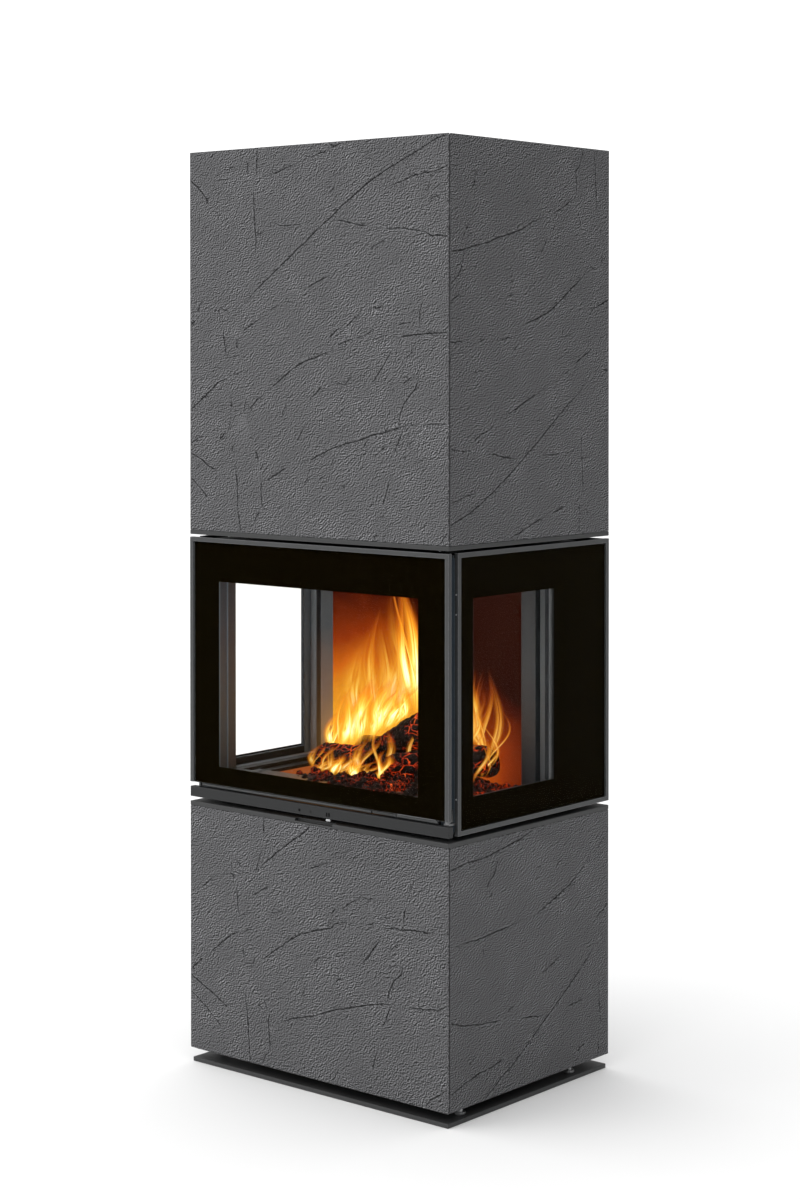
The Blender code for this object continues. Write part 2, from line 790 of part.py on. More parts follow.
def firebox_base_frame(finish):
    """Ring that carries the floor pan, with the ledges that the damper slides on."""
    x = X_SIDE - RING_SIDE_INSET
    y = (Y_FRONT + RING_FRONT_INSET, Y_BACK - RING_REAR_INSET)
    z = (Z_CAP_TOP + SEAT, Z_PAN - SEAT)
    inner = [rectangle((-x + RING_BAR, y[0] + RING_FRONT_BAR), (x - RING_BAR, y[1] - RING_BAR))]
    frame = add_outline(
        "firebox_base_frame", "Z", rectangle((-x, y[0]), (x, y[1])), *z, finish, inner
    )
    ledge_top = Z_DAMPER - SEAT
    across = (-x + RING_BAR / 2, x - RING_BAR / 2)
    inside = y[0] + RING_FRONT_BAR
    back = Y_DAMPER + DAMPER_DEPTH
    join(
        frame,
        box_object(
            "guide_front", across, (inside - RING_FRONT_BAR / 2, inside + GUIDE_LEDGE), (z[0], ledge_top)
        ),
        box_object(
            "guide_rear", across, (back - GUIDE_LEDGE, back - GUIDE_LEDGE + GUIDE_BAR), (z[0], ledge_top)
        ),
    )
    play = LEVER_WIDTH / 2 + LEVER_SIDE_PLAY
    slot_z = (Z_SILL - RUN - LEVER_NOSE_HEIGHT - LEVER_SIDE_PLAY / 2, Z_DAMPER - SEAT + OVERRUN)
    cut(
        frame,
        box_object(
            "lever_slot",
            (LEVER_X - LEVER_TRAVEL - play, LEVER_X + play),
            (y[0] - OVERRUN, inside + GUIDE_LEDGE + OVERRUN),
            (slot_z[0], Z_DAMPER + DAMPER_THICKNESS / 2),
        ),
        *(
            box_object(
                f"guide_notch_{index}",
                centred(place_x, GUIDE_NOTCH_WIDTH),
                (back - GUIDE_LEDGE - OVERRUN, back - GUIDE_LEDGE + GUIDE_BAR + OVERRUN),
                (z[0] - OVERRUN, z[0] + GUIDE_NOTCH_HEIGHT),
            )
            for index, place_x in enumerate(row(GUIDE_NOTCH_COUNT, GUIDE_NOTCH_PITCH))
        ),
    )


def damper_windows(shift=0.0):
    """The two air windows, as outlines in X and Y."""
    middle = Y_DAMPER + DAMPER_DEPTH / 2
    y = centred(middle, DAMPER_WINDOW_DEPTH)
    return [
        rectangle((x - DAMPER_WINDOW_WIDTH / 2, y[0]), (x + DAMPER_WINDOW_WIDTH / 2, y[1]))
        for x in row(2, DAMPER_WINDOW_PITCH, shift)
    ]


def air_control(finish):
    """Damper plate and its lever, open at rest. They slide to the left together."""
    half = DAMPER_WIDTH / 2
    damper = add_outline(
        "air_damper_plate",
        "Z",
        rectangle((-half, Y_DAMPER), (half, Y_DAMPER + DAMPER_DEPTH)),
        Z_DAMPER,
        Z_DAMPER + DAMPER_THICKNESS,
        finish["steel"],
        damper_windows(),
    )
    x = centred(LEVER_X, LEVER_WIDTH)
    top = Z_SILL - RUN
    front = Y_FRONT + RUN
    lever = add_box(
        "air_control_lever",
        x,
        (front, front + LEVER_NOSE_LENGTH),
        (top - LEVER_NOSE_HEIGHT, top),
        finish["bright"],
    )
    soften(lever, LEVER_NOSE_ROUND, 2)
    tail = front + LEVER_REACH
    x_bar = (x[0] + LEVER_SIDE_PLAY / 2, x[1] - LEVER_SIDE_PLAY / 2)
    z_bar = centred(top - LEVER_NOSE_HEIGHT / 2, LEVER_THICKNESS)
    join(
        lever,
        box_object("lever_bar", x_bar, (front + LEVER_NOSE_LENGTH / 2, tail), z_bar),
        box_object(
            "lever_boss",
            (x_bar[0] + LEVER_SIDE_PLAY / 2, x_bar[1] - LEVER_SIDE_PLAY / 2),
            (tail - LEVER_BOSS_LENGTH, tail - LEVER_SIDE_PLAY / 2),
            (z_bar[0] + LEVER_THICKNESS / 2, Z_DAMPER - SEAT),
        ),
    )
    axis = joint_empty("air_control_axis", (LEVER_X, Y_FRONT, Z_SILL))
    carry(axis, damper, lever)


def sill(finish):
    """Flat bar across the front, fixed by two lugs to the hearth rim."""
    bar = add_box(
        "sill_bar", (-X_SIDE, X_SIDE), (Y_FRONT, Y_FRONT + SILL_DEPTH), (Z_SILL, Z_SILL_TOP), finish
    )
    soften(bar, SILL_ARRIS)
    z = centred((Z_SILL + Z_SILL_TOP) / 2, SILL_LUG_HEIGHT)
    y = (Y_FRONT + SILL_DEPTH / 2, Y_FIREBOX - SEAT)
    join(
        bar,
        *(
            box_object(f"sill_lug_{name}", centred(x, SILL_LUG_WIDTH), y, z)
            for name, x in (("left", -SILL_LUG_X), ("right", SILL_LUG_X))
        ),
    )


def floor_pan(finish):
    """Sheet under the fire chamber, with the air windows and the sunk ash well."""
    x = X_FIREBOX - PAN_SIDE_INSET
    z = (Z_PAN, Z_PAN + PAN_SHEET)
    pan = add_outline(
        "firebox_floor_pan",
        "Z",
        rectangle((-x, Y_FIREBOX), (x, Y_BACK - PAN_REAR_INSET)),
        *z,
        finish,
        damper_windows(),
    )
    outer = WELL_HALF_WIDTH + WELL_WALL
    bottom = Z_PAN - WELL_DEPTH
    join(
        pan,
        box_object(
            "well_outer",
            (-outer, outer),
            (Y_WELL - WELL_WALL, Y_WELL_BACK + WELL_WALL),
            (bottom, Z_PAN + PAN_SHEET / 2),
        ),
    )
    cut(
        pan,
        box_object(
            "well_inner",
            (-WELL_HALF_WIDTH, WELL_HALF_WIDTH),
            (Y_WELL, Y_WELL_BACK),
            (bottom + WELL_WALL, z[1] + OVERRUN),
        ),
    )


def ash_pan(finish):
    """Loose open box in the ash well."""
    half = WELL_HALF_WIDTH - ASH_PAN_PLAY
    y = (Y_WELL + ASH_PAN_PLAY, Y_WELL_BACK - ASH_PAN_PLAY)
    bottom = Z_PAN - WELL_DEPTH + WELL_WALL + SEAT
    pan = add_box("ash_pan", (-half, half), y, (bottom, Z_PAN), finish)
    wall = ASH_PAN_WALL
    cut(
        pan,
        box_object(
            "ash_pan_hollow",
            (-half + wall, half - wall),
            (y[0] + wall, y[1] - wall),
            (bottom + wall, Z_PAN + OVERRUN),
        ),
    )


def hearth(finish):
    """Firebrick floor with the stepped opening that holds the grate."""
    top = Z_FLOOR + HEARTH_RISE
    floor = add_box(
        "hearth_floor",
        (-X_HEARTH + SEAT, X_HEARTH - SEAT),
        (Y_FRONT + HEARTH_FRONT + SEAT, Y_CHAMBER_BACK - SEAT),
        (Z_FLOOR, top),
        finish["brick"],
    )
    half = GRATE_WIDTH / 2
    cut(
        floor,
        box_object(
            "grate_rebate",
            (-half, half),
            (Y_GRATE, Y_GRATE_BACK),
            (top - GRATE_THICKNESS - SEAT, top + OVERRUN),
        ),
        box_object(
            "grate_opening",
            (-half + GRATE_LEDGE, half - GRATE_LEDGE),
            (Y_GRATE + GRATE_LEDGE, Y_GRATE_BACK - GRATE_LEDGE),
            (Z_FLOOR - OVERRUN, top),
        ),
    )
    fire_grate(top, finish["iron"])


def fire_grate(top, finish):
    half = GRATE_WIDTH / 2 - SEAT
    y = (Y_GRATE + SEAT, Y_GRATE_BACK - SEAT)
    slots = []
    for x in row(GRATE_SLOT_COUNT, GRATE_SLOT_PITCH):
        low, high = centred(x, GRATE_SLOT_WIDTH)
        slots.append(rectangle((low, y[0] + GRATE_MARGIN), (high, y[1] - GRATE_MARGIN)))
    add_outline(
        "fire_grate",
        "Z",
        rectangle((-half, y[0]), (half, y[1])),
        top - GRATE_THICKNESS,
        top,
        finish,
        slots,
    )


def hearth_rim(finish):
    """Steel rim round the hearth on three sides. Its front is hollow and blows air at the fire."""
    outer = X_CHAMBER - SEAT
    inner = X_HEARTH
    front = Y_FRONT + HEARTH_FRONT
    back = Y_CHAMBER_BACK - SEAT
    top = Z_FLOOR + RIM_HEIGHT
    right = [(outer, Y_FIREBOX), (outer, back), (inner, back), (inner, front)]
    rim = add_outline("hearth_rim", "Z", right + mirrored(right), Z_FLOOR, top, finish)
    channel_top = top - RIM_WALL
    cut(
        rim,
        box_object(
            "rim_channel",
            (-RIM_CHANNEL_HALF_WIDTH, RIM_CHANNEL_HALF_WIDTH),
            (Y_FIREBOX + RIM_WALL, front - RIM_WALL),
            (Z_FLOOR - OVERRUN, channel_top),
        ),
        *(
            box_object(
                f"rim_slot_{index}",
                centred(x, RIM_SLOT_WIDTH),
                (front - RIM_WALL - OVERRUN, front + OVERRUN),
                centred(channel_top - RIM_SLOT_DROP, RIM_SLOT_HEIGHT),
            )
            for index, x in enumerate(row(RIM_SLOT_COUNT, RIM_SLOT_PITCH))
        ),
        *(
            box_object(
                f"rim_step_{side}",
                x,
                (front - RIM_STEP_WIDTH, back + OVERRUN),
                (top - RIM_STEP_DEPTH, top + OVERRUN),
            )
            for side, x in both_sides((inner - OVERRUN, inner + RIM_STEP_WIDTH)).items()
        ),
    )


def front_posts(finish):
    """Hollow posts at the front corners, open at both ends."""
    for side, x in both_sides((X_CHAMBER, X_FIREBOX)).items():
        y = (Y_FIREBOX, Y_FIREBOX + POST_DEPTH)
        hole = rectangle((x[0] + POST_WALL, y[0] + POST_WALL), (x[1] - POST_WALL, y[1] - POST_WALL))
        add_outline(
            f"front_{side}_post",
            "Z",
            rectangle((x[0], y[0]), (x[1], y[1])),
            Z_FLOOR,
            Z_CEILING,
            finish,
            [hole],
        )


def rear_wall(finish):
    """Steel back of the chamber, folded round the brick lining."""
    front = Y_CHAMBER_BACK
    back = front + LINING_THICKNESS + SEAT
    inner = X_HEARTH + SEAT
    outer = X_HEARTH + WALL_RETURN
    right = [
        (outer, back + WALL_SHEET),
        (outer, front),
        (inner, front),
        (inner, front + WALL_SHEET),
        (outer - WALL_SHEET, front + WALL_SHEET),
        (outer - WALL_SHEET, back),
    ]
    outline = right[:1] + right[1:] + mirrored(right)
    add_outline("firebox_rear_wall", "Z", outline, Z_FLOOR, Z_CEILING, finish["steel"])
    add_box(
        "back_lining",
        (-X_HEARTH, X_HEARTH),
        (front, front + LINING_THICKNESS),
        (Z_FLOOR, Z_BAFFLE),
        finish["brick"],
    )


def firebox_roof(finish):
    """Roof plate with a front lip for the door's seal, the gas outlet and two rails to the upper plate."""
    x = X_FIREBOX - PAN_SIDE_INSET
    y = (Y_FIREBOX, Y_BACK - PAN_REAR_INSET)
    top = Z_ROOF + ROOF_SHEET
    roof = add_outline(
        "firebox_roof",
        "Z",
        rectangle((-x, y[0]), (x, y[1])),
        Z_ROOF,
        top,
        finish,
        [circle((0.0, Y_FLUE), FLUE_RADIUS + FLUE_PLAY)],
    )
    lip = X_CHAMBER - SEAT
    join(
        roof,
        box_object(
            "roof_lip",
            (-lip, lip),
            (Y_FIREBOX, Y_FIREBOX + ROOF_SHEET),
            (Z_CEILING - ROOF_LIP_HEIGHT, Z_ROOF + ROOF_SHEET / 2),
        ),
        *(
            box_object(
                f"roof_rail_{side}",
                rail,
                (Y_FRONT + ROOF_RAIL_FRONT_INSET, Y_BACK - ROOF_RAIL_REAR_INSET),
                (Z_ROOF + ROOF_SHEET / 2, Z_PLATE - SEAT),
            )
            for side, rail in both_sides(centred(ROOF_RAIL_X, ROOF_RAIL_WIDTH)).items()
        ),
    )


def baffle(finish):
    """Baffle plate that sends the gases to the front before they rise."""
    half = X_CHAMBER - RUN
    add_box(
        "baffle_plate",
        (-half, half),
        (Y_FRONT + BAFFLE_FRONT, Y_CHAMBER_BACK - SEAT),
        (Z_BAFFLE + SEAT, Z_BAFFLE + SEAT + BAFFLE_THICKNESS),
        finish,
    )


def rear_cover(finish):
    """Sheet behind the firebox, folded forward along the side windows."""
    outer = X_FIREBOX
    inner = outer - PAN_SIDE_INSET + SEAT
    back = Y_PANEL + REAR_SHEET
    start = Y_BACK - PAN_REAR_INSET - LUG_REACH
    right = [(outer, back), (outer, start), (inner, start), (inner, Y_PANEL)]
    add_outline(
        "firebox_rear_cover", "Z", right + mirrored(right), Z_SILL + SEAT, Z_DOOR_TOP - SEAT, finish
    )


# Side windows

def side_window(side, finish):
    """Trim frame and printed outer glass, inner frame with the baffle's lugs, and the heat glass."""
    sign = 1 if side == "right" else -1

    def across(low, high):
        return (low, high) if sign > 0 else (-high, -low)

    trim_outer = ((Y_FRONT + SIDE_SETBACK, Z_SILL), (Y_BACK, Z_DOOR_TOP))
    trim_inner = widened(trim_outer, -TRIM_WIDTH)
    add_outline(
        f"{side}_side_frame",
        "X",
        rectangle(*trim_outer),
        *across(X_SIDE - TRIM_DEPTH, X_SIDE),
        finish["steel"],
        [rectangle(*trim_inner)],
    )
    glass_x = across(X_SIDE - GLASS_RECESS - GLASS_THICKNESS, X_SIDE - GLASS_RECESS)
    add_box(
        f"{side}_outer_glass",
        glass_x,
        (trim_inner[0][0] + SEAT, trim_inner[1][0] - SEAT),
        (trim_inner[0][1] + SEAT, trim_inner[1][1] - SEAT),
        finish["print_glass"],
    )
    inner_frame(side, across, finish)


def inner_frame(side, across, finish):
    """Inner steel frame of a side window, rebated from outside for the heat glass."""
    start = Y_FIREBOX + POST_DEPTH + SEAT
    opening = (
        (start + INNER_FRONT_BORDER, Z_PRINT - INNER_BOTTOM_SILL),
        (Y_CHAMBER_BACK - SEAT, Z_PRINT_TOP + INNER_TOP_RISE),
    )
    frame = add_outline(
        f"{side}_inner_frame",
        "X",
        rectangle((start, Z_FLOOR), (Y_CHAMBER_BACK + INNER_REAR_BORDER, Z_CEILING)),
        *across(X_CHAMBER, X_FIREBOX),
        finish["steel"],
        [rectangle(*opening)],
    )
    rebate = widened(opening, GLASS_LAP)
    seat_x = X_CHAMBER + INNER_LEDGE_DEPTH
    cut(
        frame,
        box_object(
            f"{side}_rebate",
            across(seat_x, X_FIREBOX + OVERRUN),
            (rebate[0][0], rebate[1][0]),
            (rebate[0][1], rebate[1][1]),
        ),
    )
    reach = LUG_END_INSET + LUG_LENGTH / 2
    ends = {"front": Y_FRONT + BAFFLE_FRONT + reach, "rear": Y_CHAMBER_BACK - reach}
    # The opening reaches above the lugs, so each hangs on a strut from the frame's solid border.
    bracket = [
        (X_CHAMBER - LUG_REACH, Z_BAFFLE - LUG_HEIGHT),
        (X_CHAMBER + LUG_HEIGHT, Z_BAFFLE - LUG_HEIGHT),
        (X_CHAMBER + LUG_HEIGHT, opening[1][1] + LUG_HEIGHT),
        (X_CHAMBER + SEAT, opening[1][1] + LUG_HEIGHT),
        (X_CHAMBER + SEAT, Z_BAFFLE),
        (X_CHAMBER - LUG_REACH, Z_BAFFLE),
    ]
    if side == "left":
        bracket = mirrored(bracket)
    for end, y in ends.items():
        join(frame, outline_object(f"{side}_lug_{end}", "Y", bracket, *centred(y, LUG_LENGTH)))
    add_box(
        f"{side}_inner_glass",
        across(seat_x + SEAT, seat_x + SEAT + GLASS_THICKNESS),
        (rebate[0][0] + SEAT, rebate[1][0] - SEAT),
        (rebate[0][1] + SEAT, rebate[1][1] - SEAT),
        finish["heat_glass"],
    )


# Door

def door(finish):
    """Door frame with the printed glass, the inner frame with the heat glass, the seal and the latch."""
    axis = joint_empty("door_hinge_axis", (X_HINGE, Y_HINGE, Z_DOOR))
    frame = door_frame(finish["steel"])
    glass_y = (Y_FRONT + GLASS_RECESS, Y_FRONT + GLASS_RECESS + GLASS_THICKNESS)
    inside = X_SIDE - TRIM_WIDTH - SEAT
    outer_glass = add_box(
        "door_outer_glass",
        (-inside, inside),
        glass_y,
        (Z_DOOR + SEAT, Z_DOOR_TOP - TRIM_WIDTH - SEAT),
        finish["print_glass"],
    )
    carrier, inner_glass, seal = door_inner(finish)
    rod, lever = latch(axis, finish)
    carry(axis, frame, outer_glass, carrier, inner_glass, seal)
    return rod, lever


def door_frame(finish):
    """Tray-shaped frame: border, flange behind the glass, hinge knuckles and the latch's guides."""
    y = (Y_FRONT, Y_FRONT + TRIM_DEPTH)
    flange_front = y[1] - DOOR_FLANGE
    opening = (
        (-X_SIDE + DOOR_FLANGE_WIDTH, Z_DOOR + DOOR_FLANGE_BOTTOM),
        (X_SIDE - DOOR_FLANGE_WIDTH, Z_DOOR_TOP - DOOR_FLANGE_TOP),
    )
    frame = add_outline(
        "door_frame",
        "Y",
        rectangle((-X_SIDE, Z_DOOR), (X_SIDE, Z_DOOR_TOP)),
        *y,
        finish,
        [rectangle(*opening)],
    )
    inside = X_SIDE - TRIM_WIDTH
    cut(
        frame,
        box_object(
            "glass_pocket",
            (-inside, inside),
            (y[0] - OVERRUN, flange_front),
            (Z_DOOR - OVERRUN, Z_DOOR_TOP - TRIM_WIDTH),
        ),
    )
    knuckles = {
        "upper": (Z_DOOR_TOP - KNUCKLE_UPPER_HEIGHT, Z_DOOR_TOP),
        "lower": (Z_DOOR, Z_DOOR + KNUCKLE_LOWER_HEIGHT),
    }
    pivot = (X_HINGE, Y_HINGE)
    for name, z in knuckles.items():
        join(
            frame, cylinder_object(f"knuckle_{name}", pivot, "Z", *z, KNUCKLE_RADIUS, SMALL_ROUND_STEPS)
        )
    join(frame, *rod_guides(flange_front))
    bore = PIN_RADIUS + PIN_PLAY
    for name, z in knuckles.items():
        reach = (z[0] - OVERRUN, z[1] + OVERRUN)
        cut(frame, cylinder_object(f"knuckle_bore_{name}", pivot, "Z", *reach, bore, SMALL_ROUND_STEPS))
    return frame


def rod_guides(flange_front):
    """Angles that guide the latch rod, the lever's pin, and the fixed rail to the right of the lever."""
    top = Z_DOOR + ROD_GUIDE_CAP
    back = Y_ROD + ROD_RADIUS + SEAT
    rail_x = (ROD_RIGHT_X + LEVER_SLOT_WIDTH, X_SIDE - RAIL_END)
    pivot_x, pivot_y = latch_pivot()
    inside = flange_front + DOOR_FLANGE / 2
    angle = [
        (inside, Z_DOOR + SEAT),
        (back, Z_DOOR + SEAT),
        (back, Z_ROD - ROD_RADIUS),
        (back + ROD_GUIDE_DEPTH, Z_ROD - ROD_RADIUS),
        (back + ROD_GUIDE_DEPTH, top),
        (inside, top),
    ]
    places = [share * X_SIDE for share in ROD_GUIDE_SHARES]
    made = [
        outline_object(f"rod_guide_{index}", "X", angle, *centred(x, ROD_GUIDE_WIDTH))
        for index, x in enumerate(places)
    ]
    web = [
        (inside, Z_DOOR + SEAT),
        (Y_ROD, Z_DOOR + SEAT),
        (Y_ROD, Z_ROD),
        (Y_ROD + ROD_RADIUS / 2, Z_ROD),
        (Y_ROD + ROD_RADIUS / 2, top),
        (inside, top),
    ]
    pin_z = (Z_ROD - ROD_RADIUS, Z_DOOR + ROD_GUIDE_CAP / 2)
    made += [
        cylinder_object("right_rail", (Y_ROD, Z_ROD), "X", *rail_x, ROD_RADIUS, SMALL_ROUND_STEPS),
        outline_object("rail_web", "X", web, rail_x[0] + ROD_RADIUS, rail_x[1] - ROD_RADIUS),
        box_object(
            "pivot_cap",
            centred(pivot_x, LATCH_HUB_RADIUS),
            (inside, Y_ROD + ROD_RADIUS),
            (Z_DOOR + SEAT, top - SEAT),
        ),
        cylinder_object(
            "latch_pin", (pivot_x, pivot_y), "Z", *pin_z, LATCH_PIVOT_RADIUS, SMALL_ROUND_STEPS
        ),
    ]
    return made


def latch_pivot():
    return ROD_RIGHT_X + LEVER_SLOT_WIDTH - LATCH_PIVOT_INSET, Y_ROD + LATCH_HUB_RADIUS - ROD_RADIUS


def door_inner(finish):
    """Inner frame behind the flange, heat glass in its rebate, and the rope seal on its back."""
    front = Y_FRONT + TRIM_DEPTH + SEAT
    back = front + CARRIER_DEPTH
    side = X_SIDE - CARRIER_SIDE
    outer = ((-side, Z_DOOR + CARRIER_BOTTOM), (side, Z_DOOR_TOP - CARRIER_TOP))
    opening = (
        (-X_SIDE + DOOR_FLANGE_WIDTH, Z_DOOR + DOOR_FLANGE_BOTTOM),
        (X_SIDE - DOOR_FLANGE_WIDTH, Z_DOOR_TOP - DOOR_FLANGE_TOP),
    )
    carrier = add_outline(
        "door_inner_frame", "Y", rectangle(*outer), front, back, finish["steel"], [rectangle(*opening)]
    )
    rebate = widened(opening, CARRIER_LAP)
    seat_y = front + CARRIER_LEDGE
    cut(
        carrier,
        box_object(
            "carrier_rebate",
            (rebate[0][0], rebate[1][0]),
            (seat_y, back + OVERRUN),
            (rebate[0][1], rebate[1][1]),
        ),
    )
    glass = add_box(
        "door_inner_glass",
        (rebate[0][0] + SEAT, rebate[1][0] - SEAT),
        (seat_y + SEAT, seat_y + SEAT + GLASS_THICKNESS),
        (rebate[0][1] + SEAT, rebate[1][1] - SEAT),
        finish["heat_glass"],
    )
    rope = widened(outer, -SEAL_EDGE)
    rope_inner = widened(rope, -SEAL_WIDTH)
    seal = add_outline(
        "door_seal",
        "Y",
        rectangle(*rope),
        back + SEAT,
        Y_FIREBOX - SEAT,
        finish["rope"],
        [rectangle(*rope_inner)],
    )
    return carrier, glass, seal


def latch(door_axis, finish):
    """Sliding rod under the door and the lever that draws it to the right."""
    left = -X_SIDE + ROD_LEFT
    rod = cylinder_object(
        "latch_rod", (Y_ROD, Z_ROD), "X", left, ROD_RIGHT_X, ROD_RADIUS, SMALL_ROUND_STEPS
    )
    place(rod, parts, finish["steel"])
    pivot_x, pivot_y = latch_pivot()
    z = centred(Z_ROD + SEAT, LATCH_ARM_HEIGHT)
    lever = cylinder_object(
        "latch_lever", (pivot_x, pivot_y), "Z", *z, LATCH_HUB_RADIUS, SMALL_ROUND_STEPS
    )
    place(lever, parts, finish["bright"])
    arm_z = (z[0] + SEAT, z[1] - SEAT)
    join(
        lever,
        box_object(
            "latch_arm",
            (ROD_RIGHT_X + LATCH_ARM_GAP, pivot_x),
            centred(Y_ROD, LATCH_ARM_WIDTH),
            arm_z,
        ),
    )
    cut(
        lever,
        cylinder_object(
            "latch_bore",
            (pivot_x, pivot_y),
            "Z",
            z[0] - OVERRUN,
            z[1] + OVERRUN,
            LATCH_PIVOT_RADIUS + PIN_PLAY,
            SMALL_ROUND_STEPS,
        ),
    )
    rod_axis = joint_empty("latch_rod_axis", (left, Y_ROD, Z_ROD), door_axis)
    lever_axis = joint_empty("latch_lever_axis", (pivot_x, pivot_y, Z_ROD), door_axis)
    for axis, piece in ((rod_axis, rod), (lever_axis, lever)):
        carry(door_axis, piece)
        carry(axis, piece)
    return rod, lever


def latch_keeper(finish):
    """Bracket at the left post that holds the rod's end, open to the front."""
    left = -X_SIDE + ROD_LEFT - KEEPER_WIDTH / 2
    z = (Z_SILL_TOP + SEAT, Z_SILL_TOP + SEAT + KEEPER_HEIGHT)
    behind = Y_ROD + ROD_RADIUS + 2 * RUN
    outline = [
        (left, Y_ROD - ROD_RADIUS),
        (left + KEEPER_WALL, Y_ROD - ROD_RADIUS),
        (left + KEEPER_WALL, behind),
        (left + KEEPER_WIDTH, behind),
        (left + KEEPER_WIDTH, Y_FIREBOX - SEAT),
        (left, Y_FIREBOX - SEAT),
    ]
    add_outline("latch_keeper", "Z", outline, *z, finish)


def hinge_brackets(finish):
    """The two fixed brackets with the pins that the door turns on."""
    x = (X_HINGE - BRACKET_HALF_WIDTH, X_HINGE + BRACKET_HALF_WIDTH)
    front = Y_HINGE - PIN_RADIUS - RUN
    low = Z_DOOR_TOP + RUN
    upper = add_box(
        "upper_hinge_bracket", x, (front, Y_FIREBOX + BRACKET_HEEL), (low, low + BRACKET_THICKNESS), finish
    )
    pin = (Z_DOOR_TOP - KNUCKLE_UPPER_HEIGHT + PIN_END_GAP, low + BRACKET_THICKNESS / 2)
    join(
        upper,
        box_object(
            "upper_heel",
            (x[0] + SEAT, X_FIREBOX - PAN_SIDE_INSET - SEAT),
            (Y_FIREBOX + SEAT, Y_FIREBOX + BRACKET_HEEL - SEAT),
            (Z_ROOF + ROOF_SHEET + SEAT, low + BRACKET_THICKNESS / 2),
        ),
        cylinder_object("upper_pin", (X_HINGE, Y_HINGE), "Z", *pin, PIN_RADIUS, SMALL_ROUND_STEPS),
    )
    low = Z_SILL_TOP + RUN
    lower = add_box(
        "lower_hinge_bracket",
        x,
        (front, Y_FRONT + SIDE_SETBACK - RUN),
        (low, low + BRACKET_THICKNESS),
        finish,
    )
    join(
        lower,
        box_object(
            "lower_foot",
            (x[0] + SEAT, x[0] + BRACKET_FOOT_WIDTH),
            (Y_FIREBOX - SEAT - BRACKET_FOOT, Y_FIREBOX - SEAT),
            (low + SEAT, low + BRACKET_FOOT_HEIGHT),
        ),
        cylinder_object(
            "lower_washer",
            (X_HINGE, Y_HINGE),
            "Z",
            low + BRACKET_THICKNESS / 2,
            Z_DOOR - SEAT,
            HINGE_WASHER_RADIUS,
            SMALL_ROUND_STEPS,
        ),
        cylinder_object(
            "lower_pin",
            (X_HINGE, Y_HINGE),
            "Z",
            low + BRACKET_THICKNESS / 2,
            Z_DOOR + KNUCKLE_LOWER_HEIGHT - PIN_END_GAP,
            PIN_RADIUS,
            SMALL_ROUND_STEPS,
        ),
    )


# Storage block

def upper_plate(finish):
    plate = add_box(
        "upper_plate", (-X_SIDE, X_SIDE), (Y_FRONT, Y_BACK), (Z_PLATE, Z_PLATE_TOP), finish
    )
    soften(plate, PLATE_ARRIS)
    through = (Z_PLATE - OVERRUN, Z_PLATE_TOP + OVERRUN)
    cut(plate, cylinder_object("upper_plate_cut", (0.0, Y_FLUE), "Z", *through, FLUE_RADIUS + FLUE_PLAY))


def flanged_ring(name, z, flange_z, flange_width, finish):
    """A tube of the flue's bore with a flange round it, as one turned profile."""
    inner = FLUE_RADIUS - FLUE_WALL
    outer = FLUE_RADIUS
    wide = FLUE_RADIUS + flange_width
    profile = [
        (inner, z[1]),
        (outer, z[1]),
        (outer, flange_z[1]),
        (wide, flange_z[1]),
        (wide, flange_z[0]),
        (outer, flange_z[0]),
        (outer, z[0]),
        (inner, z[0]),
    ]
    return add_turned(name, profile, (0.0, Y_FLUE, 0.0), finish, ROUND_STEPS, ring=True)


def storage_stones(finish):
    """Gas neck, the storage stones stacked over it, and the flue collar on top."""
    seat = Z_ROOF + ROOF_SHEET + SEAT
    flanged_ring(
        "gas_outlet_neck",
        (Z_ROOF + ROOF_SHEET - NECK_DEPTH, Z_PLATE_TOP + NECK_LAP),
        (seat, seat + NECK_FLANGE_THICKNESS),
        NECK_FLANGE_WIDTH,
        finish["steel"],
    )
    low = Z_PLATE_TOP + SEAT
    x = X_INSIDE - STONE_SIDE_GAP
    y = (Y_INSIDE + STONE_FRONT_GAP, Y_PANEL - STONE_REAR_GAP)
    for index in range(STONE_COUNT):
        z = (low, low + STONE_HEIGHT)
        stone = add_box(f"storage_stone_{index + 1}", (-x, x), y, z, finish["storage"])
        soften(stone, STONE_ARRIS)
        through = (z[0] - OVERRUN, z[1] + OVERRUN)
        bore = FLUE_RADIUS + FLUE_PLAY
        cut(stone, cylinder_object(f"stone_bore_{index + 1}", (0.0, Y_FLUE), "Z", *through, bore))
        low = z[1] + SEAT
    flanged_ring(
        "flue_collar",
        (low - COLLAR_LAP, Z_TOP - COLLAR_BELOW_TOP),
        (low, low + NECK_FLANGE_THICKNESS),
        COLLAR_FLANGE_WIDTH,
        finish["steel"],
    )


def upper_block(finish):
    """Frame, cladding, rear panel and slotted cover of the storage block."""
    cover_z = (Z_TOP - COVER_BELOW_TOP - PLATE_THICKNESS, Z_TOP - COVER_BELOW_TOP)
    top = cover_z[0] - SEAT
    outer, inner = frame_ring()
    frame = add_outline("upper_frame", "Z", outer, top - FRAME_SHEET, top, finish["steel"], [inner])
    join(frame, *corner_posts("upper", (Z_PLATE_TOP + SEAT, top - FRAME_SHEET / 2)))
    cladding("upper", (Z_PLATE_TOP + SEAT, Z_TOP), finish["stone"])
    add_box(
        "upper_rear_panel",
        (-X_INSIDE, X_INSIDE),
        (Y_PANEL, Y_PANEL + REAR_SHEET),
        (Z_PLATE_TOP + SEAT, Z_TOP - SEAT),
        finish["steel"],
    )
    top_cover(cover_z, finish["steel"])


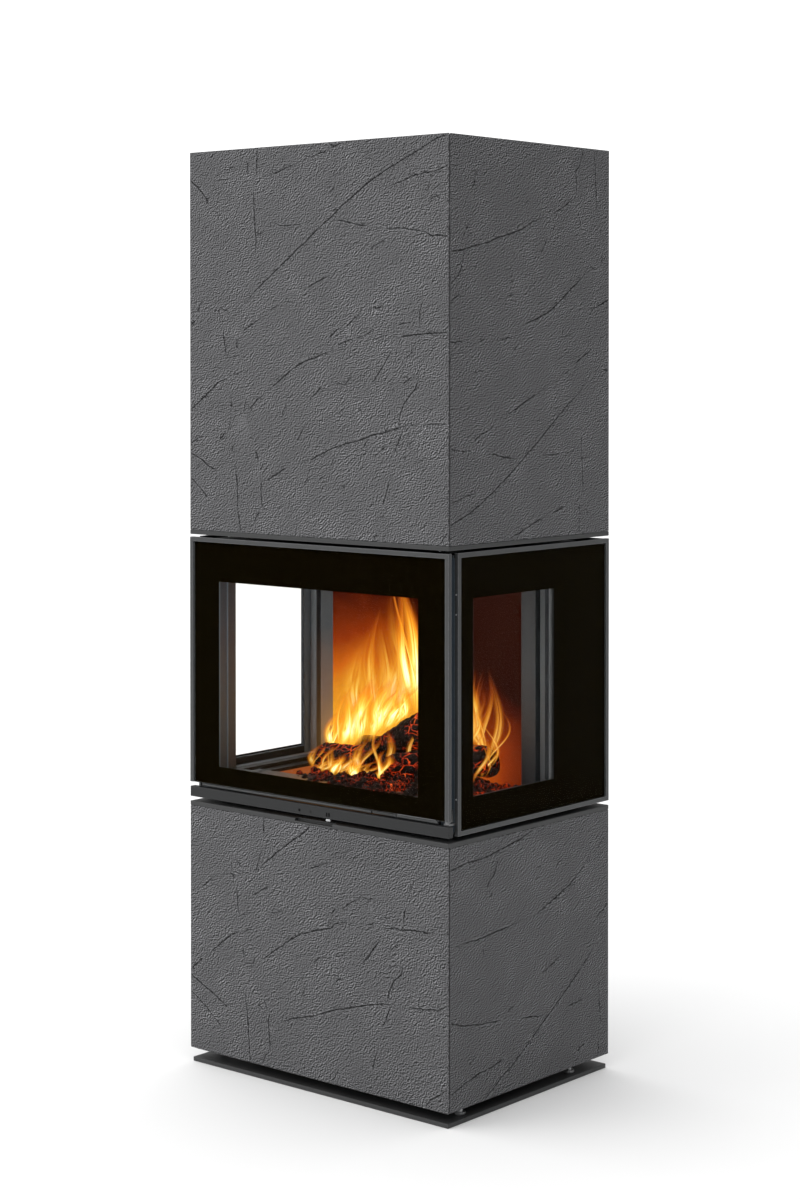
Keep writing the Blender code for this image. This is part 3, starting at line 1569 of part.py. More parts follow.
def top_cover(z, finish):
    """Cover with the flue's hole and warm-air slots on both sides of it."""
    middle = (Y_INSIDE + Y_PANEL) / 2
    y = centred(middle, COVER_SLOT_LENGTH)
    slots = []
    for index in range(COVER_SLOT_COUNT):
        x = X_INSIDE - COVER_SLOT_INSET - index * COVER_SLOT_PITCH
        right = rectangle((x - COVER_SLOT_WIDTH, y[0]), (x, y[1]))
        slots += [right, mirrored(right)]
    add_outline(
        "top_cover",
        "Z",
        rectangle((-X_INSIDE, Y_INSIDE), (X_INSIDE, Y_PANEL - SEAT)),
        *z,
        finish,
        [circle((0.0, Y_FLUE), FLUE_RADIUS + COVER_HOLE_PLAY), *slots],
    )


def build():
    finish = finishes()
    base_and_feet(finish)
    pedestal(finish)
    air_inlet(finish)
    lower_cap_plate(finish["steel"])
    firebox_base_frame(finish["steel"])
    air_control(finish)
    sill(finish["steel"])
    floor_pan(finish["steel"])
    ash_pan(finish["galvanised"])
    hearth(finish)
    hearth_rim(finish["steel"])
    front_posts(finish["steel"])
    rear_wall(finish)
    firebox_roof(finish["steel"])
    baffle(finish["brick"])
    rear_cover(finish["steel"])
    for side in ("left", "right"):
        side_window(side, finish)
    door(finish)
    latch_keeper(finish["steel"])
    hinge_brackets(finish["bright"])
    upper_plate(finish["steel"])
    storage_stones(finish)
    upper_block(finish)


clear_scene()
parts = new_collection(PARTS, False)
helpers = new_collection(HELPERS, True)
build()
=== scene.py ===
"""Heat storage fireplace: the visual model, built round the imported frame.

Every length is in metres, in the frame of the CAD model: +X to the right, -Y towards the user, +Z up.
"""

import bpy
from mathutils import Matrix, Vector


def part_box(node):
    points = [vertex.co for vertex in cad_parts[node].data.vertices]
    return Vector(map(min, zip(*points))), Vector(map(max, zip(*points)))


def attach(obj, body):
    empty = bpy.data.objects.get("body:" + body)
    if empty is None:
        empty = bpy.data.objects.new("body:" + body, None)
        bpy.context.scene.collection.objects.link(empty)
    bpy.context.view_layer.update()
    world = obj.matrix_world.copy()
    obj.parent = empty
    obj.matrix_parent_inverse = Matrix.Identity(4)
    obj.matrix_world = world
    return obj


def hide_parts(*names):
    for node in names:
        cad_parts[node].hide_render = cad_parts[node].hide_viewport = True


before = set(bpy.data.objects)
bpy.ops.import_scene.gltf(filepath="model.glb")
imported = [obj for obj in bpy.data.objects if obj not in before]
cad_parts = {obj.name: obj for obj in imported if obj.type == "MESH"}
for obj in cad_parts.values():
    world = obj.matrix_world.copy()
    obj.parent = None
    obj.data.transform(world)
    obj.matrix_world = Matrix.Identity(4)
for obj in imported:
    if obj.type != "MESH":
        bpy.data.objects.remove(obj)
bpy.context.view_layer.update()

import logging
import math
import random
from dataclasses import dataclass, field
from enum import Enum
from functools import partial
from typing import Callable, Iterable, NamedTuple, Sequence, Union

import bmesh
import bpy
from mathutils import Vector, noise
from mathutils.geometry import delaunay_2d_cdt

LOG = logging.getLogger("fireplace")
Socket = bpy.types.NodeSocket
Value = Union[Socket, float, Sequence[float], None]
Outputs = bpy.types.bpy_prop_collection
Material = bpy.types.Material
Mesh = bpy.types.Mesh
Node = bpy.types.Node
Piece = bpy.types.Object
Rows = bmesh.types.BMesh
Tree = bpy.types.NodeTree
Finishes = dict[str, Material]
Three = tuple[float, float, float]
Four = tuple[float, float, float, float]
Window = Four
Chains = list[list[Three]]
Stops = Sequence[tuple[float, Sequence[float]]]

MM = 0.001
BODY = "stove_body"
DOOR = "door"

# Splits of the four stone faces that the picture shows: strength in tenths, then u, z in mm on the face.
# u is X on a front and Y on a side; z is counted from the slab block's foot.
UPPER_FRONT = (
    (10, -304, 647, -286, 632, -267, 612, -259, 596), (7, -137, 696, -138, 670, -140, 648),
    (8, -147, 635, -145, 593, -143, 554, -140, 534, -141, 502), (9, -103, 647, -73, 656, -43, 664),
    (8, -8, 673, 16, 680, 35, 685), (8, 36, 686, 51, 691, 74, 699), (7, -97, 562, -80, 555, -60, 555, -19, 557),
    (10, -191, 400, -178, 411, -162, 421, -144, 438, -119, 456, -82, 481, -45, 507, -17, 526, 11, 547, 44, 567, 68,
        585, 105, 608, 144, 631, 189, 651, 245, 674, 281, 690, 306, 699), (8, -19, 442, 41, 464),
    (5, -178, 550, -162, 555), (6, -140, 540, -117, 547), (6, -216, 660, -207, 664, -196, 666),
    (6, -160, 673, -163, 652), (6, 153, 612, 163, 615),
    (8, 177, 614, 193, 619, 213, 624, 225, 629, 243, 632, 267, 634, 283, 637, 310, 644),
    (9, 52, 560, 68, 559, 91, 554, 109, 550, 128, 548),
    (8, 159, 543, 181, 541, 203, 542, 229, 538, 259, 533, 273, 526, 285, 527, 308, 524),
    (6, 180, 529, 163, 521, 144, 513, 134, 507), (6, 269, 622, 266, 609, 263, 598), (6, 293, 614, 273, 602),
    (7, 295, 596, 277, 592, 270, 587), (7, 309, 580, 297, 571), (6, 51, 626, 49, 617, 40, 611), (6, 91, 485, 74, 480),
    (6, 98, 353, 114, 355, 136, 364, 146, 382), (10, 193, 353, 225, 357, 268, 360, 307, 361), (9, 35, 352, 64, 372),
    (8, 77, 371, 96, 387, 114, 397), (8, 147, 403, 164, 409), (9, 186, 334, 167, 309, 149, 286, 134, 272),
    (10, 244, 289, 241, 276, 236, 264, 221, 251, 208, 235, 201, 217, 199, 199), (8, 139, 349, 158, 354, 168, 359),
    (7, 253, 418, 247, 399, 245, 368), (7, 55, 273, 74, 272, 85, 280, 89, 288), (8, -8, 246, 6, 255, 20, 269),
    (8, 208, 273, 219, 280, 232, 287), (8, 59, 219, 77, 234), (6, 193, 374, 214, 378, 231, 380),
    (7, 210, 314, 231, 329), (5, 103, 223, 116, 229), (9, -175, 365, -151, 379, -128, 391), (6, -106, 404, -86, 413),
    (8, -222, 374, -222, 355, -218, 338, -216, 320), (5, -210, 319, -194, 320, -182, 324),
    (6, -188, 355, -188, 338, -183, 334), (7, -250, 406, -235, 406, -231, 396, -234, 383), (7, -230, 409, -210, 404),
    (10, -307, 222, -286, 236, -262, 254, -237, 272, -219, 279, -207, 284), (7, -196, 286, -171, 295),
    (10, -160, 222, -140, 241, -119, 253),
    (10, -112, 258, -82, 277, -60, 292, -36, 306, -2, 318, -4, 316, 24, 325, 53, 334), (9, 56, 340, 71, 346, 93, 351),
    (7, -203, 249, -202, 226), (7, -166, 241, -172, 218), (5, -200, 218, -196, 220, -182, 222),
    (8, -8, 246, 9, 257, 21, 268), (6, -65, 239, -75, 215), (5, -122, 337, -91, 343),
    (6, -292, 400, -282, 418, -276, 426), (8, -306, 380, -292, 389),
    (10, -306, 142, -295, 137, -276, 129, -262, 118, -239, 111), (8, -306, 97, -290, 83, -274, 70, -259, 56),
    (9, -192, 124, -189, 94, -187, 68, -186, 39, -178, 11), (7, -198, 158, -202, 146), (5, -204, 202, -211, 188),
    (8, -142, 154, -134, 130), (8, -122, 129, -129, 114), (8, -124, 106, -128, 79, -126, 55, -122, 42),
    (8, -131, 40, -140, 28, -148, 18), (10, -115, 96, -91, 108, -62, 123),
    (10, -31, 132, -6, 137, 13, 145, 44, 158, 66, 165, 91, 170, 111, 175, 134, 183, 167, 189, 197, 197, 223, 202, 243,
        204), (6, 257, 204, 308, 207), (7, -17, 202, -30, 183, -43, 166), (6, -216, 184, -235, 164),
    (6, -272, 178, -297, 159), (8, 13, 102, 26, 110), (5, -25, 94, -12, 102),
    (10, 209, 194, 200, 175, 193, 163, 186, 149), (9, 177, 107, 172, 87, 166, 72, 162, 60), (5, 166, 49, 161, 40),
    (8, 308, 21, 300, 13, 291, 6), (5, 49, 143, 43, 127), (6, 66, 90, 76, 96), (5, 146, 13, 143, 3),
    (6, 233, 177, 221, 168), (6, 171, 166, 161, 159, 146, 148), (6, 128, 178, 120, 163, 107, 157),
)

UPPER_SIDE = (
    (10, -228, 499, -195, 503, -161, 511, -129, 517, -93, 528, -61, 535, -28, 545, 2, 559, 36, 568),
    (9, 56, 573, 84, 585, 120, 603), (9, -179, 550, -192, 529, -201, 507),
    (10, -194, 502, -195, 482, -208, 458, -228, 443), (8, -228, 414, -201, 428),
    (10, -44, 369, -11, 380, 43, 397, 77, 416, 115, 442, 143, 459, 165, 478),
    (6, 154, 686, 140, 662, 129, 658, 133, 631, 129, 604), (7, 136, 587, 149, 546),
    (8, 186, 692, 190, 661, 193, 615, 197, 576), (6, 208, 557, 204, 544), (6, -157, 643, -162, 625, -168, 607),
    (7, 46, 534, 34, 515, 24, 501), (8, -21, 590, -9, 597), (7, -71, 469, -53, 482), (8, -67, 449, -53, 452),
    (7, -4, 443, 12, 454), (6, -79, 419, -71, 427, -51, 427), (7, 175, 483, 193, 480, 206, 485),
    (6, 211, 511, 211, 493, 222, 490), (8, 179, 406, 211, 417, 231, 426), (6, -57, 501, -48, 506),
    (6, -161, 536, -179, 529),
    (10, -227, 34, -173, 53, -138, 71, -101, 92, -48, 125, -11, 151, 22, 173, 65, 205, 100, 230, 134, 250, 161, 271,
        172, 284), (8, -173, 172, -142, 187, -105, 201), (8, -81, 216, -44, 230, -11, 245, 22, 257),
    (9, -122, 154, -85, 146, -44, 140), (6, -228, 164, -201, 159, -165, 160), (7, 22, 145, 48, 145, 74, 147, 89, 143),
    (8, 145, 201, 148, 167, 150, 128, 154, 68), (7, 141, 61, 143, 24, 141, 6), (8, -69, 4, -28, 14, 6, 26, 39, 36),
    (8, 52, 39, 108, 53), (6, -227, 71, -189, 81, -149, 88), (8, -227, 344, -193, 347), (7, -157, 344, -132, 351),
    (8, -103, 347, -61, 354), (8, -57, 328, -32, 348), (9, 126, 307, 148, 318, 183, 336), (6, 91, 288, 117, 298),
    (6, -161, 291, -153, 295, -134, 297), (6, -220, 324, -189, 327), (5, 87, 354, 121, 362), (6, 206, 297, 228, 294),
    (5, 165, 46, 165, 28),
)

LOWER_FRONT = (
    (10, -307, 145, -292, 159, -275, 172), (10, -261, 182, -236, 201, -203, 227, -180, 234),
    (7, -171, 237, -148, 245),
    (10, -137, 183, -122, 194, -94, 214, -73, 227, -69, 231, -38, 250, 1, 264, 41, 275, 53, 285, 79, 293),
    (9, 120, 292, 143, 299), (9, -151, 305, -126, 319, -108, 329), (6, -91, 338, -71, 348),
    (10, -140, 352, -113, 374, -82, 397, -43, 423, -6, 448), (9, -122, 445, -122, 421),
    (8, -189, 313, -188, 290, -185, 266), (5, -182, 265, -157, 270), (8, -281, 301, -251, 325),
    (7, -212, 340, -198, 336, -200, 319), (7, -198, 343, -178, 339), (6, -203, 362, -202, 344),
    (6, -194, 366, -182, 359, -173, 346), (5, -108, 279, -71, 288), (7, -14, 372, 11, 381, 41, 393),
    (6, -144, 344, -126, 395), (10, -307, 135, -283, 123, -253, 110, -231, 99, -208, 88),
    (8, -307, 103, -287, 93, -261, 75, -223, 47), (7, -174, 207, -172, 186),
    (9, -170, 129, -166, 106, -162, 73, -158, 20, -156, 8), (6, -170, 179, -147, 181, -145, 196),
    (10, -98, 76, -73, 89, -49, 99, -1, 111, 43, 129, 82, 140, 120, 152, 166, 162, 208, 167),
    (8, 219, 166, 259, 169, 289, 173, 298, 184), (10, 209, 237, 204, 219, 187, 205, 178, 186, 172, 165),
    (9, 179, 161, 172, 139, 161, 120), (8, 151, 81, 143, 56, 138, 35), (8, -122, 122, -114, 103),
    (5, -139, 110, -122, 101), (8, -106, 104, -111, 82, -108, 56, -106, 29), (7, -114, 25, -126, 9),
    (9, 307, 41, 289, 27, 270, 16, 259, 5), (7, 179, 228, 196, 236), (6, 157, 271, 136, 248, 115, 224),
    (8, 51, 180, 66, 192), (7, 49, 206, 62, 207), (7, 47, 228, 59, 227, 74, 234), (6, -17, 164, -33, 136),
    (8, -1, 207, 17, 220), (9, 165, 294, 194, 298, 206, 296, 222, 300, 246, 301, 269, 301, 285, 310),
    (7, 234, 387, 232, 381, 224, 368), (8, 216, 340, 211, 323, 210, 307), (8, 68, 311, 85, 326, 110, 338),
    (8, 41, 299, 56, 313), (9, 159, 275, 143, 257, 130, 238, 115, 224), (7, 198, 273, 179, 256),
    (6, 116, 340, 130, 339, 143, 343), (6, 165, 313, 181, 314),
)

LOWER_SIDE = (
    (10, -223, 413, -189, 419, -132, 421, -94, 427, -40, 436, 9, 450), (9, -95, 418, -105, 390, -124, 374, -134, 346),
    (7, -124, 349, -108, 356), (10, -2, 293, 37, 304, 71, 317, 112, 332, 146, 352, 179, 373), (8, 200, 385, 220, 403),
    (9, -215, 275, -199, 283, -153, 282, -110, 286, -78, 288, -40, 293), (8, 26, 187, 57, 197, 89, 210),
    (10, -132, 12, -89, 28, -46, 48, -7, 73, 32, 98, 71, 123, 112, 149, 146, 173, 188, 203, 220, 228),
    (9, -220, 29, -189, 41, -153, 49, -110, 53, -67, 64), (9, -228, 152, -194, 142, -147, 134, -105, 130, -73, 128),
    (9, -37, 121, -2, 117, 32, 111), (6, 103, 113, 146, 116, 158, 111), (8, 205, 158, 205, 106, 211, 52),
    (7, 204, 40, 202, 9), (8, 120, 21, 164, 35), (8, 194, 258, 229, 277), (7, -73, 138, -51, 150),
    (7, -179, 71, -155, 82), (7, 15, 379, 29, 381), (7, 7, 357, 18, 361, 32, 360), (7, 71, 368, 77, 376, 91, 382),
    (6, -140, 275, -137, 248),
)


# ---- node trees


class Graph:
    """Short calls for building one shader or geometry tree."""

    def __init__(self, tree: Tree) -> None:
        """Keeps the tree that the calls add to."""
        self.tree = tree

    def add(self, kind: str, **settings: object) -> Node:
        """Adds a node.

        Args:
            kind: the node's Blender type.
            settings: properties to set on it.

        Returns:
            The new node.
        """
        node = self.tree.nodes.new(kind)
        for name, value in settings.items():
            setattr(node, name, value)
        return node

    def feed(self, socket: Socket, value: Value) -> None:
        """Links a socket into another one, or sets its constant.

        Args:
            socket: the input to feed.
            value: an output socket, a constant, or None to leave it.
        """
        if isinstance(value, bpy.types.NodeSocket):
            self.tree.links.new(value, socket)
        elif value is not None:
            socket.default_value = value

    def fill(self, node: Node, **values: Value) -> Node:
        """Feeds a node's inputs by name, with _ for a space.

        Args:
            node: the node to feed.
            values: value for each input.

        Returns:
            The same node.
        """
        for name, value in values.items():
            self.feed(node.inputs[name.replace("_", " ")], value)
        return node

    def run(self, kind: str, *values: Value, output: int = 0, **settings: object) -> Socket:
        """Adds a node and feeds its inputs in their order.

        Args:
            kind: the node's Blender type.
            values: value for each input, from the first one on.
            output: number of the output that counts.
            settings: properties to set on the node.

        Returns:
            That output.
        """
        node = self.add(kind, **settings)
        for socket, value in zip(node.inputs, values):
            self.feed(socket, value)
        return node.outputs[output]

    def step(self, kind: str, **values: Value) -> Socket:
        """Adds a Geometry Node, feeds its inputs by name and returns its first output."""
        return self.fill(self.add("GeometryNode" + kind), **values).outputs[0]

    def math(self, operation: str, *values: Value, clamp: bool = False) -> Socket:
        """Returns the result of a Math node, kept in 0 to 1 by clamp."""
        return self.run("ShaderNodeMath", *values, operation=operation, use_clamp=clamp)

    def times(self, a: Value, b: Value) -> Socket:
        """Returns a times b."""
        return self.math("MULTIPLY", a, b)

    def minus(self, a: Value, b: Value) -> Socket:
        """Returns a minus b."""
        return self.math("SUBTRACT", a, b)

    def times_plus(self, a: Value, b: Value, c: Value) -> Socket:
        """Returns a times b, plus c."""
        return self.math("MULTIPLY_ADD", a, b, c)

    def vary(self, mask: Value, middle: Value, amount: Value, base: Value) -> Socket:
        """Returns a base changed by an amount times a mask's distance from its middle."""
        return self.times_plus(self.minus(mask, middle), amount, base)

    def vector(self, operation: str, *values: Value) -> Socket:
        """Returns the result of a Vector Math node, which is a number for a length or a dot product."""
        number = operation in ("LENGTH", "DOT_PRODUCT")
        return self.run("ShaderNodeVectorMath", *values, output=int(number), operation=operation)

    def split(self, vector: Value) -> tuple[Socket, ...]:
        """Returns a vector's three numbers."""
        return tuple(self.fill(self.add("ShaderNodeSeparateXYZ"), Vector=vector).outputs)

    def join(self, x: Value, y: Value, z: Value) -> Socket:
        """Returns a vector made of three numbers."""
        return self.run("ShaderNodeCombineXYZ", x, y, z)

    def place(self, vector: Value, scale: Sequence[float], turn: Sequence[float] = (0, 0, 0)) -> Socket:
        """Returns coordinates stretched along the axes and turned by degrees, for a pattern."""
        turned = [math.radians(angle) for angle in turn]
        return self.fill(self.add("ShaderNodeMapping"), Vector=vector, Rotation=turned, Scale=scale).outputs[0]

    def noise(self, vector: Value, scale: Value, detail: float = 2.0, rough: float = 0.5, bend: float = 0.0) -> Socket:
        """Returns a noise, about 0.5 on average, with scale in grains per metre."""
        sizes = {"Scale": scale, "Detail": detail, "Roughness": rough, "Distortion": bend}
        return self.fill(self.add("ShaderNodeTexNoise"), Vector=vector, **sizes).outputs[0]

    def cells(self, vector: Value, scale: Value, edge: bool = False) -> Socket:
        """Returns the distance to the middle, or to the edge, of the cell at each point."""
        node = self.add("ShaderNodeTexVoronoi", feature="DISTANCE_TO_EDGE" if edge else "F1")
        return self.fill(node, Vector=vector, Scale=scale).outputs["Distance"]

    def ramp(self, factor: Value, stops: Stops) -> Socket:
        """Adds a Color Ramp.

        Args:
            factor: what runs through the ramp.
            stops: position and colour of each stop.

        Returns:
            The colour.
        """
        node = self.add("ShaderNodeValToRGB")
        bar = node.color_ramp
        while len(bar.elements) < len(stops):
            bar.elements.new(0.5)
        for element, (position, colour) in zip(bar.elements, stops):
            element.position = position
            element.color = (*colour[:3], 1.0)
        self.feed(node.inputs[0], factor)
        return node.outputs[0]

    def blend(self, factor: Value, a: Value, b: Value) -> Socket:
        """Returns a mix of two colours, the Mix node's inputs 6 and 7; a constant one has four numbers."""
        return self.run("ShaderNodeMix", factor, *[None] * 5, a, b, output=2, data_type="RGBA")

    def spread(self, value: Value, low: Value, high: Value, to_low: Value = 0.0, to_high: Value = 1.0) -> Socket:
        """Returns a value mapped from low and high to to_low and to_high, and stopped at both ends."""
        return self.run("ShaderNodeMapRange", value, low, high, to_low, to_high, clamp=True)

    def tint(self, colour: Value, factor: Value) -> Socket:
        """Returns a colour times a number that changes over the surface."""
        return self.vector("MULTIPLY", colour, self.join(factor, factor, factor))

    def bump(self, height: Value, distance: float, strength: float = 1.0, normal: Value = None) -> Socket:
        """Returns the normal bent by a relief of 0 to 1, with the real distance in metres."""
        sizes = {"Strength": strength, "Distance": distance, "Height": height, "Normal": normal}
        return self.fill(self.add("ShaderNodeBump"), **sizes).outputs[0]

    def group(self, tree: Tree, **values: Value) -> Outputs:
        """Places a group node, feeds it by name and returns its outputs."""
        return self.fill(self.add("ShaderNodeGroup", node_tree=tree), **values).outputs

    def here(self) -> Socket:
        """Returns the Object coordinates."""
        return self.add("ShaderNodeTexCoord").outputs["Object"]

    def facing(self) -> Socket:
        """Returns the surface's normal."""
        return self.add("ShaderNodeNewGeometry").outputs["Normal"]


Recipe = Callable[[Graph, Outputs], Union[Socket, dict[str, Socket]]]


def made_by(builder: Callable, *sockets: dict) -> Callable:
    """Returns the decorator that turns a recipe into a call for its node tree, made by a builder with its sockets."""
    return lambda recipe: partial(builder, recipe, *sockets)


def shader_group(recipe: Recipe, inputs: dict[str, float], outputs: dict[str, str]) -> Tree:
    """Builds a shader node group once, under its recipe's name.

    Args:
        recipe: adds the nodes and returns what feeds each output.
        inputs: number inputs besides Point, with their defaults.
        outputs: output sockets with the end of their Blender type.

    Returns:
        The group, ready to be placed in materials.
    """
    tree = bpy.data.node_groups.get(recipe.__name__)
    if tree:
        return tree
    tree = bpy.data.node_groups.new(recipe.__name__, "ShaderNodeTree")
    tree.interface.new_socket("Point", in_out="INPUT", socket_type="NodeSocketVector")
    for label, default in inputs.items():
        tree.interface.new_socket(label, in_out="INPUT", socket_type="NodeSocketFloat").default_value = default
    for label, kind in outputs.items():
        tree.interface.new_socket(label, in_out="OUTPUT", socket_type="NodeSocket" + kind)
    graph = Graph(tree)
    made = recipe(graph, graph.add("NodeGroupInput").outputs)
    graph.fill(graph.add("NodeGroupOutput"), **made)
    return tree


class Crease(NamedTuple):
    """One size of wrinkle in the split stone, along the lines where a bent noise crosses its middle."""

    scale: float
    stretch: float
    twist: float
    width: float
    patches: float
    start: float
    depth: float


CREASES = (Crease(34.0, 1.8, 0.6, 0.030, 40.0, 0.46, 0.27), Crease(92.0, 1.4, 0.9, 0.08, 64.0, 0.48, 0.24))
SLANT = (0, 0, -50)
# Reach and strength of the painted relief light: the stone is painted darker in its hollows, as shade, and lighter
# beside them, as a highlight.
LIT_REACH = 1.7 * MM
LIT_GAIN = 5.4
DARKEST = 0.12


def stone_relief(graph: Graph, given: Outputs, spot: Socket) -> Socket:
    """Adds the split stone's grain, creases and pits.

    Args:
        graph: its graph.
        given: its inputs.
        spot: where on the face the relief is read.

    Returns:
        The relief.
    """
    low = graph.noise(graph.place(spot, (1.0, 1.4, 1.0), SLANT), given["Grain"], 1.0, 0.6, 0.3)
    for crease in CREASES:
        stretched = graph.place(spot, (1.0, crease.stretch, 1.0), SLANT)
        bent = graph.noise(stretched, crease.scale, 2.0, 0.5, crease.twist)
        line = graph.spread(graph.math("ABSOLUTE", graph.minus(bent, 0.5)), 0.0, crease.width, 1.0, 0.0)
        patches = graph.noise(spot, crease.patches, 2.0)
        line = graph.times(line, graph.spread(patches, crease.start, crease.start + 0.08))
        low = graph.times_plus(line, -crease.depth, low)
    pits = graph.spread(graph.cells(spot, given["Pits"]), 0.10, 0.32, 1.0, 0.0)
    pits = graph.times(pits, graph.spread(graph.noise(spot, 42.0, 2.0), 0.44, 0.56))
    return graph.times_plus(pits, -0.22, low)


@made_by(shader_group, {"Grain": 330.0, "Pits": 260.0}, {"Tone": "Float", "Height": "Float"})
def stone_grain(graph: Graph, given: Outputs) -> dict[str, Socket]:
    """Lays the relief flat on the face that looks along X, Y or Z, and paints shade into every hollow and a highlight
    on both sides of it.

    Args:
        graph: its graph.
        given: its inputs.

    Returns:
        Tone, about 1, with the painted shade and highlights in it, and Height.
    """
    across, _, up = graph.split(graph.vector("ABSOLUTE", graph.facing()))
    x, y, z = graph.split(given["Point"])
    along = graph.vary(y, x, across, x)
    height = graph.times_plus(y, graph.spread(up, 0.8, 0.9), z)
    reliefs = []
    # The relief is read here and a step to each side; where it lies below its sides the tone is painted darker as
    # shade, where above them lighter as a highlight.
    for offset in (0.0, LIT_REACH, -LIT_REACH):
        spot = graph.join(graph.math("ADD", along, offset), graph.math("ADD", height, -offset), 0.0)
        reliefs.append(stone_relief(graph, given, spot))
    here, below, above = reliefs
    around = graph.times(graph.math("ADD", below, above), 0.5)
    patches = graph.noise(given["Point"], 14.0, 3.0, 0.6, 0.6)
    lit = graph.times(graph.minus(here, around), graph.spread(patches, 0.38, 0.66, 0.62, 1.35))
    lit = graph.times(lit, graph.spread(lit, -0.02, 0.02, 1.2, 0.9))
    tone = graph.times(graph.times_plus(lit, LIT_GAIN, 1.03), graph.spread(patches, 0.3, 0.7, 0.97, 1.03))
    return {"Tone": graph.math("MAXIMUM", tone, DARKEST), "Height": here}


@made_by(shader_group, {"Radius": 0.0008}, {"Normal": "Vector", "Edge": "Float"})
def worn_edge(graph: Graph, given: Outputs) -> dict[str, Socket]:
    """Rounds an edge's shading, and masks the edge where the rounded normal leaves the plain one, for a painted
    highlight along it.

    Args:
        graph: its graph.
        given: its inputs.

    Returns:
        The rounded Normal, and the edge mask for a painted highlight, broken up by noise.
    """
    rounded_off = graph.fill(graph.add("ShaderNodeBevel", samples=4), Radius=given["Radius"]).outputs[0]
    edge = graph.spread(graph.vector("DOT_PRODUCT", rounded_off, graph.facing()), 0.995, 0.85)
    broken = graph.spread(graph.noise(given["Point"], 130.0, 3.0, 0.6), 0.35, 0.65, 0.6, 1.0)
    return {"Normal": rounded_off, "Edge": graph.times(edge, broken)}


@made_by(shader_group, {"Grain": 900.0}, {"Height": "Float", "Blotch": "Float", "Dust": "Float"})
def surface_film(graph: Graph, given: Outputs) -> dict[str, Socket]:
    """Adds orange peel, cloudy blotches, and dust on what faces up.

    Args:
        graph: its graph.
        given: its inputs.

    Returns:
        Height, Blotch and Dust.
    """
    point = given["Point"]
    _, _, up = graph.split(graph.facing())
    settled = graph.spread(graph.noise(point, 45.0, 5.0, 0.7), 0.4, 0.75)
    return {
        "Height": graph.noise(point, given["Grain"]),
        "Blotch": graph.noise(point, 9.0, 4.0, 0.6, 0.4),
        "Dust": graph.times(graph.spread(up, 0.75, 1.0), settled),
    }


FIRE_DEPTH = 0.09
FIRE_HEIGHT = 0.56
FLICKER = 0.28
GLOW_INPUTS = {"Width": 0.26, "Depth": 9.0, "Height": 0.30, "Middle": -0.14}


@made_by(shader_group, GLOW_INPUTS, {"Distance": "Float"})
def glow_field(graph: Graph, given: Outputs) -> dict[str, Socket]:
    """Measures an oval distance from the fire's heart with a little flicker, for its light on what stands round it.

    Args:
        graph: its graph.
        given: its inputs.

    Returns:
        Distance.
    """
    x, y, z = graph.split(given["Point"])
    left = graph.math("DIVIDE", graph.minus(x, given["Middle"]), given["Width"])
    back = graph.math("DIVIDE", graph.minus(FIRE_DEPTH, y), given["Depth"])
    up = graph.math("DIVIDE", graph.minus(z, FIRE_HEIGHT), given["Height"])
    away = graph.vector("LENGTH", graph.join(left, back, up))
    return {"Distance": graph.vary(graph.noise(given["Point"], 11.0), 0.5, FLICKER, away)}


# ---- finishes


def new_material(name: str) -> tuple[Material, Graph, Node]:
    """Starts a material.

    Args:
        name: the material's name.

    Returns:
        The material, its graph, and its Principled BSDF.
    """
    material = bpy.data.materials.new(name)
    material.use_nodes = True
    graph = Graph(material.node_tree)
    return material, graph, material.node_tree.nodes["Principled BSDF"]


def grey(value: float, warm: float = 0.0) -> Four:
    """Returns a grey, a little warmer or cooler, as four numbers."""
    return value * (1 + warm), value, value * (1 - warm), 1.0


@dataclass(frozen=True)
class SplitStone:
    """Dark grey stone with a split, pitted face."""

    name: str = "split_stone"
    tone: float = 0.095
    grain: float = 330.0

    def build(self) -> Material:
        """Builds the material.

        Returns:
            The material.
        """
        material, graph, shader = new_material(self.name)
        here = graph.here()
        grain = graph.group(stone_grain(), Point=here, Grain=self.grain)
        edge_light = graph.group(worn_edge(), Point=here, Radius=0.0007)
        cut = graph.add("ShaderNodeAttribute", attribute_name="groove").outputs["Fac"]
        # Painted shade darkens the bottoms of the carved splits, and a painted highlight lightens their raised lips.
        tone = graph.times(grain["Tone"], graph.spread(cut, 0.25, 0.80, 1.0, 0.08))
        tone = graph.times(tone, graph.spread(cut, -0.3, 0.05, 1.7, 1.0))
        # Painted highlight along the rounded edges.
        tone = graph.times_plus(edge_light["Edge"], 0.5, tone)
        graph.fill(shader, Base_Color=graph.tint((self.tone, self.tone, self.tone * 1.04), tone), Roughness=0.88)
        graph.fill(shader, Specular_IOR_Level=0.25)
        graph.fill(shader, Normal=graph.bump(grain["Height"], 0.0026, 1.0, edge_light["Normal"]))
        return material


